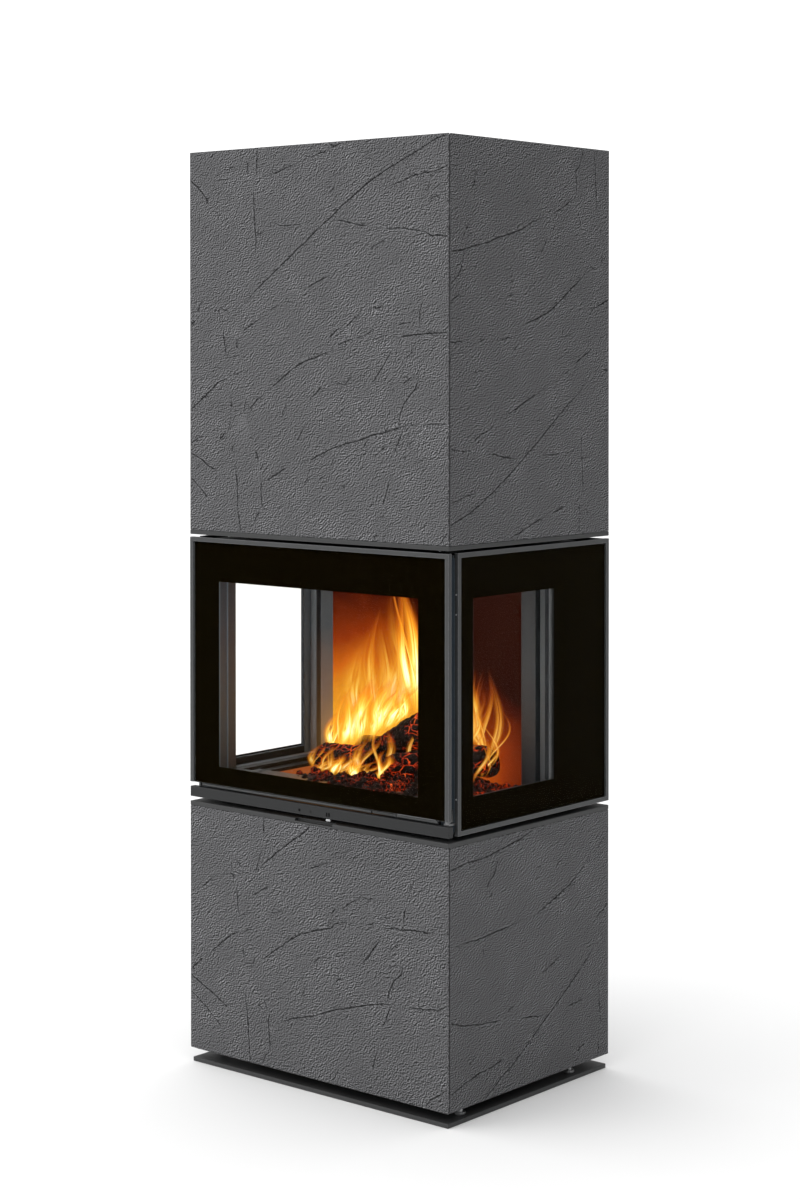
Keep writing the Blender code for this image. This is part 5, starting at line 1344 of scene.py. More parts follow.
    def build(self, material: Material) -> Piece:
        """Builds the slab and hides the CAD one.

        Args:
            material: the stone.

        Returns:
            The piece.
        """
        axis, sign = self.face.value
        other = 1 - axis
        rows = bmesh.new()
        rows.from_mesh(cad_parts[self.node].data)
        layer = rows.verts.layers.float.new("groove")
        bmesh.ops.remove_doubles(rows, verts=rows.verts, dist=1e-5)
        if self.face is not Face.FRONT:
            front = min(v.co.y for v in rows.verts)
            for corner in rows.verts:
                corner.co.y -= self.seam if corner.co.y < front + 2.0 * MM else 0.0
        rows.normal_update()
        reach = max(v.co[axis] * sign for v in rows.verts)
        outer = [f for f in rows.faces if all(abs(v.co[axis] * sign - reach) < 1e-5 for v in f.verts)]
        rim = [e for e in {e for f in outer for e in f.edges} if sum(f in outer for f in e.link_faces) == 1]
        loop = [rim[0].verts[0], rim[0].verts[1]]
        while len(loop) < len(rim):
            following = [e for e in rim if loop[-1] in e.verts and loop[-2] not in e.verts]
            loop.append(following[0].other_vert(loop[-1]))
        flat = [(v.co[other], v.co.z) for v in loop]
        low = Vector((min(p[0] for p in flat), min(p[1] for p in flat)))
        high = Vector((max(p[0] for p in flat), max(p[1] for p in flat)))
        bmesh.ops.delete(rows, geom=outer, context="FACES_ONLY")
        chains = self.chains(low, high)
        self.store(chains)
        points, edges = self.lines(chains, low, high)
        count = len(flat)
        edges = [(i, (i + 1) % count) for i in range(count)] + [(a + count, b + count) for a, b in edges]
        spots, _, faces, origin, _, _ = delaunay_2d_cdt(
            [Vector(p) for p in flat + points], edges, [list(range(count))], 1, 1e-6)
        corners = []
        for spot, sources in zip(spots, origin):
            known = [index for index in sources if index < count]
            if known:
                corners.append(loop[known[0]])
                continue
            inside = min(spot.x - low.x, high.x - spot.x, spot.y - low.y, high.y - spot.y)
            cut = self.cut(spot.x, spot.y) * min(1.0, inside / self.fade)
            place = [0.0, 0.0, spot.y]
            place[other], place[axis] = spot.x, sign * (reach - self.depth * cut)
            corner = rows.verts.new(place)
            corner[layer] = cut
            corners.append(corner)
        for face in faces:
            ring = [corners[index] for index in face]
            if len(set(ring)) == len(ring):
                rows.faces.new(ring)
        loose = [v for v in rows.verts if not v.link_faces]
        bmesh.ops.delete(rows, geom=loose, context="VERTS")
        name = self.node.replace("slab", "stone")
        piece = add_piece(name, mesh_of(rows, name), material, BODY)
        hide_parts(self.node)
        return piece


@dataclass
class StoneBlock:
    """One of the two blocks: a front and two sides clad with stone."""

    level: str
    front_splits: tuple
    side_splits: tuple

    def build(self, material: Material) -> None:
        """Builds the block's three slabs.

        Args:
            material: the stone.
        """
        for seed, face in enumerate((Face.FRONT, Face.RIGHT, Face.LEFT), 11):
            splits = self.front_splits if face is Face.FRONT else self.side_splits
            CarvedSlab(f"{self.level}_{face.name.lower()}_slab", face, splits, seed=seed).build(material)


# ---- glass and its black print


def rounded(left: float, right: float, low: float, high: float, radius: float) -> list[tuple[float, float]]:
    """Lays out a rounded rectangle, with the same number of points for any size.

    Args:
        left: its left edge.
        right: its right edge.
        low: its lower edge.
        high: its upper edge.
        radius: radius of its corners.

    Returns:
        Its points.
    """
    points = []
    for quarter, (u, z) in enumerate(((right, high), (left, high), (left, low), (right, low))):
        su, sz = (1, -1, -1, 1)[quarter], (1, 1, -1, -1)[quarter]
        for index in range(5):
            angle = math.radians(90 * quarter + 22.5 * index)
            points.append((u - su * radius + radius * math.cos(angle), z - sz * radius + radius * math.sin(angle)))
    return points


def flat_frame(
    rows: Rows, axis: int, outer: Sequence[tuple], inner: Sequence[tuple], depths: Sequence[float]
) -> None:
    """Adds a closed flat frame to a bmesh.

    Args:
        rows: the bmesh.
        axis: 0 if it looks along X, 1 if along Y.
        outer: its outline, along the other axis and Z.
        inner: its opening, with as many points.
        depths: its two faces' places on the axis.
    """
    layers = []
    for depth in depths:
        layer = []
        for ring in (outer, inner):
            places = [(depth, u, z) if axis == 0 else (u, depth, z) for u, z in ring]
            layer.append([rows.verts.new(place) for place in places])
        layers.append(layer)
    for outside, inside in layers + list(zip(*layers)):
        bridge(rows, outside, inside)


@dataclass
class PrintedPane:
    """The black print behind an outer pane, with the window left open."""

    name: str
    body: str
    pane: str
    axis: int
    sign: int
    window: Window
    gap: float = 0.05 * MM
    thick: float = 0.1 * MM
    corner: float = 1.0 * MM
    outer_corner: float = 3.0 * MM
    inset: float = 0.3 * MM

    def build(self, material: Material) -> Piece:
        """Builds the print as a closed thin frame.

        Args:
            material: the print.

        Returns:
            The piece.
        """
        low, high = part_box(self.pane)
        other = 1 - self.axis
        back = (low[self.axis] if self.sign > 0 else high[self.axis]) - self.sign * self.gap
        inset = self.inset
        outer = rounded(low[other] + inset, high[other] - inset, low[2] + inset, high[2] - inset, self.outer_corner)
        rows = bmesh.new()
        flat_frame(rows, self.axis, outer, rounded(*self.window, self.corner), (back, back - self.sign * self.thick))
        return add_piece(self.name, mesh_of(rows, self.name), material, self.body)


def flat_plate(rows: Rows, axis: int, outline: Sequence[tuple], depths: Sequence[float]) -> None:
    """Adds a closed flat plate to a bmesh.

    Args:
        rows: the bmesh.
        axis: 0 if it looks along X, 1 if along Y.
        outline: its outline, along the other axis and Z.
        depths: its two faces' places on the axis.
    """
    near, far = [[rows.verts.new((d, u, z) if axis == 0 else (u, d, z)) for u, z in outline] for d in depths]
    rows.faces.new(near)
    rows.faces.new(far[::-1])
    bridge(rows, far, near)


@dataclass
class WindowBeads:
    """The rings that hold the side windows' heat glass in its rebate, thin light plates on their rear bars that paint
    light on faces in shade, and the ribs of their reveals in a light paint that paints a highlight.
    """

    outer: Window = (-0.1625, 0.0852, 0.5310, 0.9250)
    inner: Window = (-0.1560, 0.0607, 0.5545, 0.9135)
    depths: tuple[float, float] = (0.2926, 0.3010)
    wall: float = 0.2719
    ribs: tuple[float, ...] = (-0.1945, -0.1735)
    strip: Window = (0.0612, 0.0848, 0.5315, 0.9245)
    half_strip: float = 0.15 * MM
    rib_radius: float = 1.5 * MM

    def build(self, material: Material, rib_and_plate_painted_light: Material, strip: Material) -> None:
        """Builds both rings, the painted light plates on their rear bars and the ribs.

        Args:
            material: finish of the rings.
            rib_and_plate_painted_light: light paint of the ribs, a painted highlight, and of the plates towards the
                fire, painted light.
            strip: light paint of the outer plates, painted light on faces in shade.
        """
        for name, sign in (("left_glass_bead", -1), ("right_glass_bead", 1)):
            rows = bmesh.new()
            outlines = (rounded(*self.outer, 0.8 * MM), rounded(*self.inner, 0.8 * MM))
            flat_frame(rows, 0, *outlines, [sign * depth for depth in self.depths])
            add_piece(name, mesh_of(rows, name), material, BODY)
        # Thin light plates on the rings' rear bars paint light on faces that lie in shade.
        for name, depth, finish in zip(("inner_bead_strips", "outer_bead_strips"), self.depths, (rib_and_plate_painted_light, strip)):
            rows = bmesh.new()
            for sign in (-1, 1):
                spread = [sign * (depth + offset) for offset in (-self.half_strip, self.half_strip)]
                flat_plate(rows, 0, rounded(*self.strip, 0.5 * MM), spread)
            add_piece(name, mesh_of(rows, name), finish, BODY)
        # The ribs wear a light paint that stands for a highlight.
        lines = [((x, y, self.outer[2]), (x, y, self.outer[3])) for x in (-self.wall, self.wall) for y in self.ribs]
        mesh = grow("reveal_ribs", lines_mesh("reveal_lines", lines), round_rods(), rib_and_plate_painted_light, Radius=self.rib_radius)
        add_piece("reveal_ribs", mesh, rib_and_plate_painted_light, BODY, True)


# ---- fire


@dataclass
class Log:
    """A split log: its ends, girth and how flat its split side is."""

    name: str
    start: Three
    end: Three
    radius: float
    split: float
    seed: int
    rings: int = 56
    sides: int = 40

    def build(self, material: Material) -> Piece:
        """Builds the log as a closed, scaly tube.

        Args:
            material: the charred wood.

        Returns:
            The piece.
        """
        start, end = Vector(self.start), Vector(self.end)
        along = (end - start).normalized()
        side = along.cross(Vector((0, 0, 1))).normalized()
        up = side.cross(along)
        shift = Vector((self.seed * 3.7, self.seed * 1.3, 0.0))
        rows = bmesh.new()
        loops = []
        for ring in range(self.rings + 1):
            share = ring / self.rings
            sweep = noise.noise(Vector((share * 2.1, 0, 0)) + shift)
            heart = start.lerp(end, share) + side * sweep * self.radius * 0.25
            loop = []
            for index in range(self.sides):
                angle = math.tau * index / self.sides
                out = side * math.cos(angle) + up * math.sin(angle)
                loop.append(rows.verts.new(heart + out * self.girth(angle, share, shift)))
            loops.append(loop)
        for a, b in zip(loops, loops[1:]):
            bridge(rows, a, b)
        for loop, inward in ((loops[0], along), (loops[-1], -along)):
            self.close(rows, loop, inward, shift)
        return add_piece(self.name, mesh_of(rows, self.name), material, BODY, True)

    def girth(self, angle: float, share: float, shift: Vector) -> float:
        """Finds the log's radius.

        Args:
            angle: place round the log.
            share: place along it.
            shift: offset of its roughness.

        Returns:
            The radius.
        """
        flat = max(0.0, math.cos(angle - self.seed)) ** 3 * self.split
        spot = Vector((math.cos(angle) * 1.5, math.sin(angle) * 1.5, share * 2.4)) + shift
        broad = noise.noise(spot) * 0.10
        scale = abs(noise.noise(Vector((math.cos(angle) * 6, math.sin(angle) * 6, share * 11)) + shift)) * 0.17
        fibre = noise.noise(Vector((math.cos(angle) * 13, math.sin(angle) * 13, share * 4)) + shift) * 0.05
        end = 1.0 - 0.16 * max(0.0, 1 - min(share, 1 - share) * 22)
        return self.radius * (1 - flat + broad - scale + fibre) * end

    @staticmethod
    def close(rows: Rows, loop: list[bmesh.types.BMVert], inward: Vector, shift: Vector) -> None:
        """Closes an end with a rough, slightly hollow face.

        Args:
            rows: the log's bmesh.
            loop: the end's ring.
            inward: direction into the log.
            shift: offset of the roughness.
        """
        heart = sum((v.co for v in loop), Vector()) / len(loop)
        before = loop
        for share in (0.72, 0.44, 0.18):
            ring = []
            for corner in loop:
                spot = heart.lerp(corner.co, share)
                rough = 0.0025 * noise.noise(spot * 160 + shift) + 0.0025 * (1 - share)
                ring.append(rows.verts.new(spot + inward * rough))
            bridge(rows, before, ring)
            before = ring
        rows.faces.new(before)


@dataclass
class EmberBed:
    """The mound of ash and embers on the hearth, and the coals scattered over it."""

    low: tuple[float, float] = (-0.152, -0.204)
    high: tuple[float, float] = (0.262, 0.068)
    floor: float = 0.5292
    rise: float = 0.033
    columns: int = 84
    lines: int = 46

    def height(self, x: float, y: float) -> float:
        """Finds the mound's height over the hearth.

        Args:
            x: place across the hearth.
            y: place along its depth.

        Returns:
            The height.
        """
        u, v = [2 * (place - low) / (high - low) - 1 for place, low, high in zip((x, y), self.low, self.high)]
        edge = 1 - min(1.0, (abs(u) ** 2.6 + abs(v) ** 2.6) * (1 + 0.35 * noise.noise(Vector((x, y, 0)) * 26)))
        lumps = 0.7 + 0.5 * noise.noise(Vector((x, y, 0.3)) * 34) + 0.2 * noise.noise(Vector((x, y, 0.7)) * 90)
        return self.rise * max(0.0, edge) ** 0.7 * lumps + 0.0004

    def surface(self, closed: bool) -> Mesh:
        """Builds the mound's skin.

        Args:
            closed: adds the flat underside.

        Returns:
            The mesh.
        """
        rows = bmesh.new()
        grid = []
        for line in range(self.lines + 1):
            y = self.low[1] + (self.high[1] - self.low[1]) * line / self.lines
            row = []
            for column in range(self.columns + 1):
                x = self.low[0] + (self.high[0] - self.low[0]) * column / self.columns
                row.append(rows.verts.new((x, y, self.floor + self.height(x, y))))
            grid.append(row)
        for a, b in zip(grid, grid[1:]):
            for index in range(self.columns):
                rows.faces.new((a[index], a[index + 1], b[index + 1], b[index]))
        if closed:
            rim = grid[0] + [row[-1] for row in grid[1:]] + grid[-1][-2::-1] + [row[0] for row in grid[-2:0:-1]]
            foot = [rows.verts.new((v.co.x, v.co.y, self.floor)) for v in rim]
            bridge(rows, rim, foot)
            rows.faces.new(foot)
        return mesh_of(rows, "ember_surface")

    def build(self, mound: Material, coal: Material) -> None:
        """Builds the mound and the coals.

        Args:
            mound: finish of the ash bed.
            coal: finish of the coals.
        """
        add_piece("ash_bed", self.surface(True), mound, BODY, True)
        for name, size, density, seed in (("large_coals", 0.0085, 2600.0, 5), ("small_coals", 0.0042, 7500.0, 9)):
            mesh = grow(name, self.surface(False), scattered_coals(), coal, Density=density, Size=size, Seed=seed)
            add_piece(name, mesh, coal, BODY)


@dataclass
class Flame:
    """One flame: a few thin curved ribbons on one spine."""

    foot: Three
    height: float
    width: float
    lean: float
    sway: float
    turn: float
    ribbons: int = 2
    thick: float = 0.6 * MM
    columns: int = 10
    lines: int = 26

    @classmethod
    def read(cls, row: Sequence[int]) -> "Flame":
        """Returns the flame of a row of the table."""
        return cls(tuple(number / 1000 for number in row[:3]), *(number / 1000 for number in row[3:7]), *row[7:])

    def spine(self, v: float, seed: float) -> Vector:
        """Finds the middle of the flame.

        Args:
            v: share of its height.
            seed: phase of its waves.

        Returns:
            The place.
        """
        wave = math.sin(v * 5.2 + seed) - math.sin(seed)
        aside = self.lean * v**1.4 + self.sway * wave
        return Vector(self.foot) + Vector((aside, 0.35 * self.sway * math.cos(v * 4.1 + seed), self.height * v))

    def add_to(self, rows: Rows, lane: int) -> int:
        """Adds the ribbons to a bmesh.

        Args:
            rows: the bmesh with a UV layer named ribbon.
            lane: whole number that sets this flame's pattern apart.

        Returns:
            The next free lane.
        """
        layer = rows.loops.layers.uv["ribbon"]
        for ribbon in range(self.ribbons):
            angle = math.radians(self.turn + 180.0 * ribbon / self.ribbons)
            seed = lane * 1.9
            sheets = []
            for sheet in (1, -1):
                grid = []
                for line in range(self.lines + 1):
                    v = line / self.lines
                    heart = self.spine(v, seed)
                    girth = self.width * (0.30 + 1.5 * v) * max(0.0, 1 - v) ** 0.75 * 0.95 + 0.0008
                    row = []
                    for column in range(self.columns + 1):
                        s = 2 * column / self.columns - 1
                        twist = angle + 0.5 * v + 0.5 * s * v
                        flat = Vector((math.cos(twist), math.sin(twist), 0.0))
                        out = Vector((-math.sin(twist), math.cos(twist), 0.0))
                        cup = out * (0.10 * girth * math.sin(3.0 * s + seed + 3 * v))
                        bulge = out * (sheet * self.thick * (1 - s * s) * (1 - v**4) * v**0.3)
                        place = heart + flat * (s * girth / 2) + cup + bulge
                        row.append((place, (lane + 0.001 + 0.998 * column / self.columns, v)))
                    grid.append(row)
                sheets.append(grid)
            self.skin(rows, layer, sheets)
            lane += 1
        return lane

    def skin(self, rows: Rows, layer: bmesh.types.BMLayerItem, sheets: list) -> None:
        """Joins the two sheets of a ribbon into a closed lens.

        Args:
            rows: the bmesh.
            layer: its UV layer.
            sheets: front and back grids of place and UV.
        """
        front = [[rows.verts.new(place) for place, _ in row] for row in sheets[0]]
        last = len(front) - 1
        back = []
        for line, row in enumerate(sheets[1]):
            made = []
            for column, (place, _) in enumerate(row):
                shared = line in (0, last) or column in (0, self.columns)
                made.append(front[line][column] if shared else rows.verts.new(place))
            back.append(made)
        for sheet, grid in enumerate((front, back)):
            for line in range(last):
                for column in range(self.columns):
                    spots = ((line, column), (line, column + 1), (line + 1, column + 1), (line + 1, column))
                    spots = spots if sheet == 0 else spots[::-1]
                    face = rows.faces.new([grid[i][j] for i, j in spots])
                    for loop, (i, j) in zip(face.loops, spots):
                        loop[layer].uv = sheets[0][i][j][1]


# Each flame: x, y, z of its foot, then its height, width, lean and sway in mm, its turn in degrees, and its
# ribbons where there are more than two.
FLAME_ROWS = {
    FlamePart.CORE: (
        (-128, -40, 572, 85, 50, 20, 6, 20), (-105, -45, 578, 125, 70, 35, 8, 50),
        (-85, -30, 580, 150, 80, 50, 7, 10), (-60, -45, 590, 135, 80, 50, 8, 70), (-35, -35, 600, 130, 75, 45, 6, 30),
        (-10, -40, 615, 120, 60, 40, 8, 60), (0, -45, 622, 85, 55, 45, 8, 25), (30, -52, 636, 80, 50, 45, 8, 65),
        (60, -58, 650, 75, 45, 35, 8, 35), (62, -20, 650, 275, 56, -58, 7, 25), (52, -12, 660, 230, 46, -40, 9, 70),
        (95, -20, 590, 120, 50, 10, 10, 40), (-50, -122, 546, 46, 40, 16, 6, 15), (0, -126, 546, 42, 52, 22, 6, 35),
        (50, -118, 550, 58, 50, 30, 7, 55),
    ),
    FlamePart.TALL: (
        (-95, 0, 600, 210, 100, 20, 10, 30), (-60, 10, 610, 235, 90, 15, 12, 5), (-20, 10, 620, 215, 90, 15, 10, 60),
        (40, -15, 640, 245, 70, -35, 9, 35), (52, -10, 630, 250, 60, -15, 8, 80), (110, 0, 600, 200, 60, 10, 12, 45),
        (160, 5, 590, 190, 50, -10, 13, 15), (135, 15, 600, 150, 55, 20, 12, 75),
    ),
    FlamePart.LICK: (
        (-145, -75, 545, 50, 30, 25, 6, 25), (-120, -90, 540, 40, 40, 70, 6, 5, 3),
        (-70, -105, 540, 45, 45, 85, 7, 40, 3), (-15, -108, 542, 45, 40, 75, 8, 15, 3),
        (150, -45, 565, 120, 26, 30, 16, 25), (175, -10, 570, 150, 30, 10, 18, 65),
        (185, 25, 570, 180, 34, 12, 14, 30), (200, -30, 550, 100, 20, 12, 14, 85),
        (-90, -102, 545, 60, 34, 40, 8, 65), (-45, -110, 545, 65, 40, 45, 9, 20), (0, -108, 550, 80, 40, 40, 10, 50),
        (35, -100, 560, 90, 30, 30, 12, 15), (100, -70, 570, 110, 22, 20, 14, 70),
        (190, 10, 560, 130, 22, 10, 14, 40), (205, -10, 555, 80, 18, 20, 12, 10), (170, 40, 580, 150, 30, 0, 10, 60),
        (150, -20, 590, 140, 16, 30, 20, 30), (165, -15, 600, 110, 14, -20, 22, 75),
        (185, 0, 580, 95, 16, 28, 20, 20), (200, 10, 570, 120, 14, 10, 22, 55),
    ),
}


@dataclass
class Fire:
    """Logs, embers and flames. They are fuel, not parts of the stove, and ride on its body."""

    logs: tuple[Log, ...] = (
        Log("log_front_left", (-0.150, -0.045, 0.566), (0.010, -0.078, 0.580), 0.025, 0.25, 1),
        Log("log_leaning", (-0.045, -0.012, 0.572), (0.150, -0.062, 0.668), 0.030, 0.30, 2),
        Log("log_rear", (-0.120, 0.034, 0.572), (0.195, 0.038, 0.576), 0.027, 0.22, 3),
        Log("log_right", (0.045, -0.098, 0.568), (0.205, 0.008, 0.590), 0.027, 0.35, 4),
    )

    def build(self) -> None:
        """Builds the fuel, the embers and the three kinds of flame."""
        wood = CharredWood().build()
        for log in self.logs:
            log.build(wood)
        ash = CharredWood("ash_and_embers", 120.0, 0.7, 0.25).build()
        EmberBed().build(ash, CharredWood("glowing_coals", 150.0, 1.6, 0.12).build())
        for finish in FLAMES:
            name = finish.part.value
            rows = bmesh.new()
            rows.loops.layers.uv.new("ribbon")
            lane = 1
            for row in FLAME_ROWS[finish.part]:
                lane = Flame.read(row).add_to(rows, lane)
            add_piece(name, mesh_of(rows, name), finish.build(), BODY, True)


# ---- small fittings


class Facing(Enum):
    """The way a screw head looks, as the turn of its +Z axis in degrees."""

    UP = (0, 0, 0)
    DOWN = (180, 0, 0)
    REAR = (-90, 0, 0)
    FRONT = (90, 0, 0)


@dataclass
class ScrewSet:
    """Screws of one size that look one way."""

    name: str
    points: tuple
    facing: Facing
    radius: float = 4.0 * MM
    height: float = 1.8 * MM
    seed: int = 1
    body: str = BODY

    def build(self, material: Material, slot: str = "bright") -> Piece:
        """Builds the screws as one piece.

        Args:
            material: their finish.
            slot: the record's material slot; not used.

        Returns:
            The piece.
        """
        turn = [math.radians(angle) for angle in self.facing.value]
        mesh = grow(self.name, points_mesh(self.name, self.points), screw_heads(), material,
                    Radius=self.radius, Height=self.height, Facing=turn, Seed=self.seed)
        return add_piece(self.name, mesh, material, self.body)


@dataclass
class Fittings:
    """Screws of the panels and covers."""

    rear: float = 0.2310
    top: float = 1.6801

    def build(self, bright: Material, painted: Material) -> None:
        """Builds the sets.

        Args:
            bright: bare screws.
            painted: screws painted with the stove.
        """
        rows = (
            ("upper_rear_screws", (0.272, (1.02, 1.18, 1.34, 1.50, 1.664)), (0.09, (1.02, 1.664))),
            ("lower_rear_screws", (0.272, (0.05, 0.25, 0.455)), (0.09, (0.05, 0.455))),
        )
        for seed, (name, *columns) in enumerate(rows, 2):
            spots = [(x, self.rear, z) for side, heights in columns for x in (-side, side) for z in heights]
            ScrewSet(name, tuple(spots), Facing.REAR, seed=seed).build(bright)
        cover = [(x, self.rear, z) for x in (-0.285, 0.0, 0.285) for z in (0.515, 0.96)]
        ScrewSet("rear_cover_screws", tuple(cover), Facing.REAR, seed=4).build(bright)
        lid = [(x, y, self.top) for x in (-0.272, 0.272) for y in (-0.197, 0.0, 0.212)]
        ScrewSet("top_cover_screws", tuple(lid), Facing.UP, seed=5).build(painted, "steel")
        studs = ((-0.273, -0.226, 0.984), (-0.216, -0.226, 0.984), (0.285, -0.226, 0.984))
        ScrewSet("upper_plate_screws", studs, Facing.DOWN, 2.4 * MM, 2.2 * MM, 6).build(bright)
        pins = tuple((0.306, -0.208, z) for z in (0.908, 0.874, 0.5585))
        ScrewSet("side_frame_screws", pins, Facing.FRONT, 1.5 * MM, 1.3 * MM, 7).build(bright)


@dataclass
class RopeSeal:
    """The door's rope, in the channel of its inner frame."""

    node: str = "door_seal"
    width: float = 8.0 * MM
    corner: float = 6.0 * MM

    def build(self, material: Material) -> Piece:
        """Builds the rope in place of the plain ring.

        Args:
            material: the rope's finish.

        Returns:
            The piece.
        """
        low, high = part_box(self.node)
        half = self.width / 2
        ring = rounded(low[0] + half, high[0] - half, low[2] + half, high[2] - half, self.corner)
        depth = (low[1] + high[1]) / 2
        path = points_mesh("rope_path", [(x, depth, z) for x, z in ring], True)
        sizes = {"Points": 800, "Strands": 3, "Turns": 150.0, "Swing": 0.0020, "Yarn": 0.00145}
        mesh = grow("rope_seal", path, twisted_rope(), material, **sizes)
        piece = add_piece("rope_seal", mesh, material, DOOR, True)
        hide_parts(self.node)
        return piece


def corners_of(left: float, right: float, low: float, high: float) -> list[tuple[float, float]]:
    """Returns a rectangle's corners."""
    return [(left, low), (right, low), (right, high), (left, high)]


@dataclass
class SillMarks:
    """Plain marks of the air slide on the sill's front: a dot, a faint square and a double bar."""

    front: float = -0.2340
    middle: float = 0.5030
    dot: float = 2.6 * MM
    proud: float = 0.10 * MM

    def plate(self, rows: Rows, outline: list[tuple[float, float]]) -> None:
        """Adds a mark with an outline in X and Z."""
        flat_plate(rows, 1, outline, (self.front - self.proud, self.front + self.proud))

    def build(self, dark: Material, pale: Material) -> None:
        """Builds the marks.

        Args:
            dark: the printed marks.
            pale: the worn square.
        """
        rows = bmesh.new()
        circle = [math.tau * index / 24 for index in range(24)]
        self.plate(rows, [(-0.0337 + self.dot * math.cos(a), self.middle + self.dot * math.sin(a)) for a in circle])
        for left in (0.0303, 0.0357):
            self.plate(rows, corners_of(left, left + 0.0034, 0.4992, 0.5060))
        add_piece("sill_marks", mesh_of(rows, "sill_marks"), dark, BODY)
        rows = bmesh.new()
        self.plate(rows, corners_of(-0.0095, -0.0050, 0.5010, 0.5050))
        add_piece("sill_square", mesh_of(rows, "sill_square"), pale, BODY)


# ---- sub-assemblies


@dataclass
class Pedestal:
    """The lower block."""

    parts: tuple = (
        ("plate", "pedestal_frame", "lower_rear_panel", "lower_cap_plate"),
        ("base", "base_plate"),
        ("bright", "levelling_foot_front_left", "levelling_foot_front_right"),
        ("bright", "levelling_foot_rear_left", "levelling_foot_rear_right"),
        ("galvanised", "air_inlet_spigot", "air_duct"),
    )

    def build(self, finishes: Finishes) -> None:
        """Clads the block and dresses its nodes."""
        StoneBlock("lower", LOWER_FRONT, LOWER_SIDE).build(finishes["stone"])
        dress(finishes, self.parts)


@dataclass
class StorageBlock:
    """The upper block with the storage stones round the flue."""

    parts: tuple = (
        ("storage", "storage_stone_1", "storage_stone_2", "storage_stone_3"),
        ("plate", "upper_plate", "upper_frame", "upper_rear_panel", "top_cover", "gas_outlet_neck"),
        ("paint", "flue_collar"),
    )

    def build(self, finishes: Finishes) -> None:
        """Clads the block and dresses its nodes."""
        StoneBlock("upper", UPPER_FRONT, UPPER_SIDE).build(finishes["stone"])
        dress(finishes, self.parts)


@dataclass
class Firebox:
    """The stove's body between the blocks, without its door."""

    side_window: Window = (-0.162, 0.070, 0.557, 0.899)
    parts: tuple = (
        ("paint", "left_side_frame", "right_side_frame", "firebox_rear_cover", "firebox_base_frame", "latch_keeper"),
        ("chamber", "firebox_floor_pan", "firebox_roof", "left_inner_frame", "right_inner_frame"),
        ("reveal", "front_left_post", "front_right_post"),
        ("sill", "sill_bar"),
        ("wall", "firebox_rear_wall"),
        ("rim", "hearth_rim"),
        ("hearth", "hearth_floor"),
        ("lining", "back_lining"),
        ("brick", "baffle_plate"),
        ("iron", "fire_grate"),
        ("galvanised", "ash_pan"),
        ("plate", "air_damper_plate"),
        ("bright", "air_control_lever"),
        ("mark", "upper_hinge_bracket"),
        ("dull", "lower_hinge_bracket"),
        ("inner_glass", "left_inner_glass", "right_inner_glass"),
        ("outer_glass", "left_outer_glass", "right_outer_glass"),
    )

    def build(self, finishes: Finishes) -> None:
        """Dresses the stove's body and builds its prints, beads and ribs.

        Args:
            finishes: the materials by use.
        """
        dress(finishes, self.parts)
        for side, sign in (("left", -1), ("right", 1)):
            pane = PrintedPane(f"{side}_window_print", BODY, f"{side}_outer_glass", 0, sign, self.side_window)
            pane.build(finishes["print"])
        WindowBeads().build(finishes["bead"], finishes["rib_and_plate_painted_light"], finishes["strip"])


@dataclass
class Door:
    """The glazed front door with its latch."""

    window: Window = (-0.239, 0.239, 0.557, 0.899)
    wire: tuple = ((0.1960, -0.2338, 0.5240), (0.2815, -0.2338, 0.5240))
    wire_radius: float = 0.6 * MM
    parts: tuple = (
        ("paint", "door_frame", "latch_rod"),
        ("chamber", "door_inner_frame"),
        ("plate", "latch_lever"),
        ("inner_glass", "door_inner_glass"),
        ("outer_glass", "door_outer_glass"),
    )

    def build(self, finishes: Finishes) -> None:
        """Dresses the door, builds its print, its rope seal and its closing wire.

        Args:
            finishes: the materials by use.
        """
        dress(finishes, self.parts)
        PrintedPane("door_window_print", DOOR, "door_outer_glass", 1, -1, self.window).build(finishes["print"])
        RopeSeal().build(finishes["rope"])
        wire = lines_mesh("closing_wire_line", [self.wire])
        mesh = grow("closing_wire", wire, round_rods(), finishes["dull"], Radius=self.wire_radius)
        add_piece("closing_wire", mesh, finishes["dull"], DOOR, True)


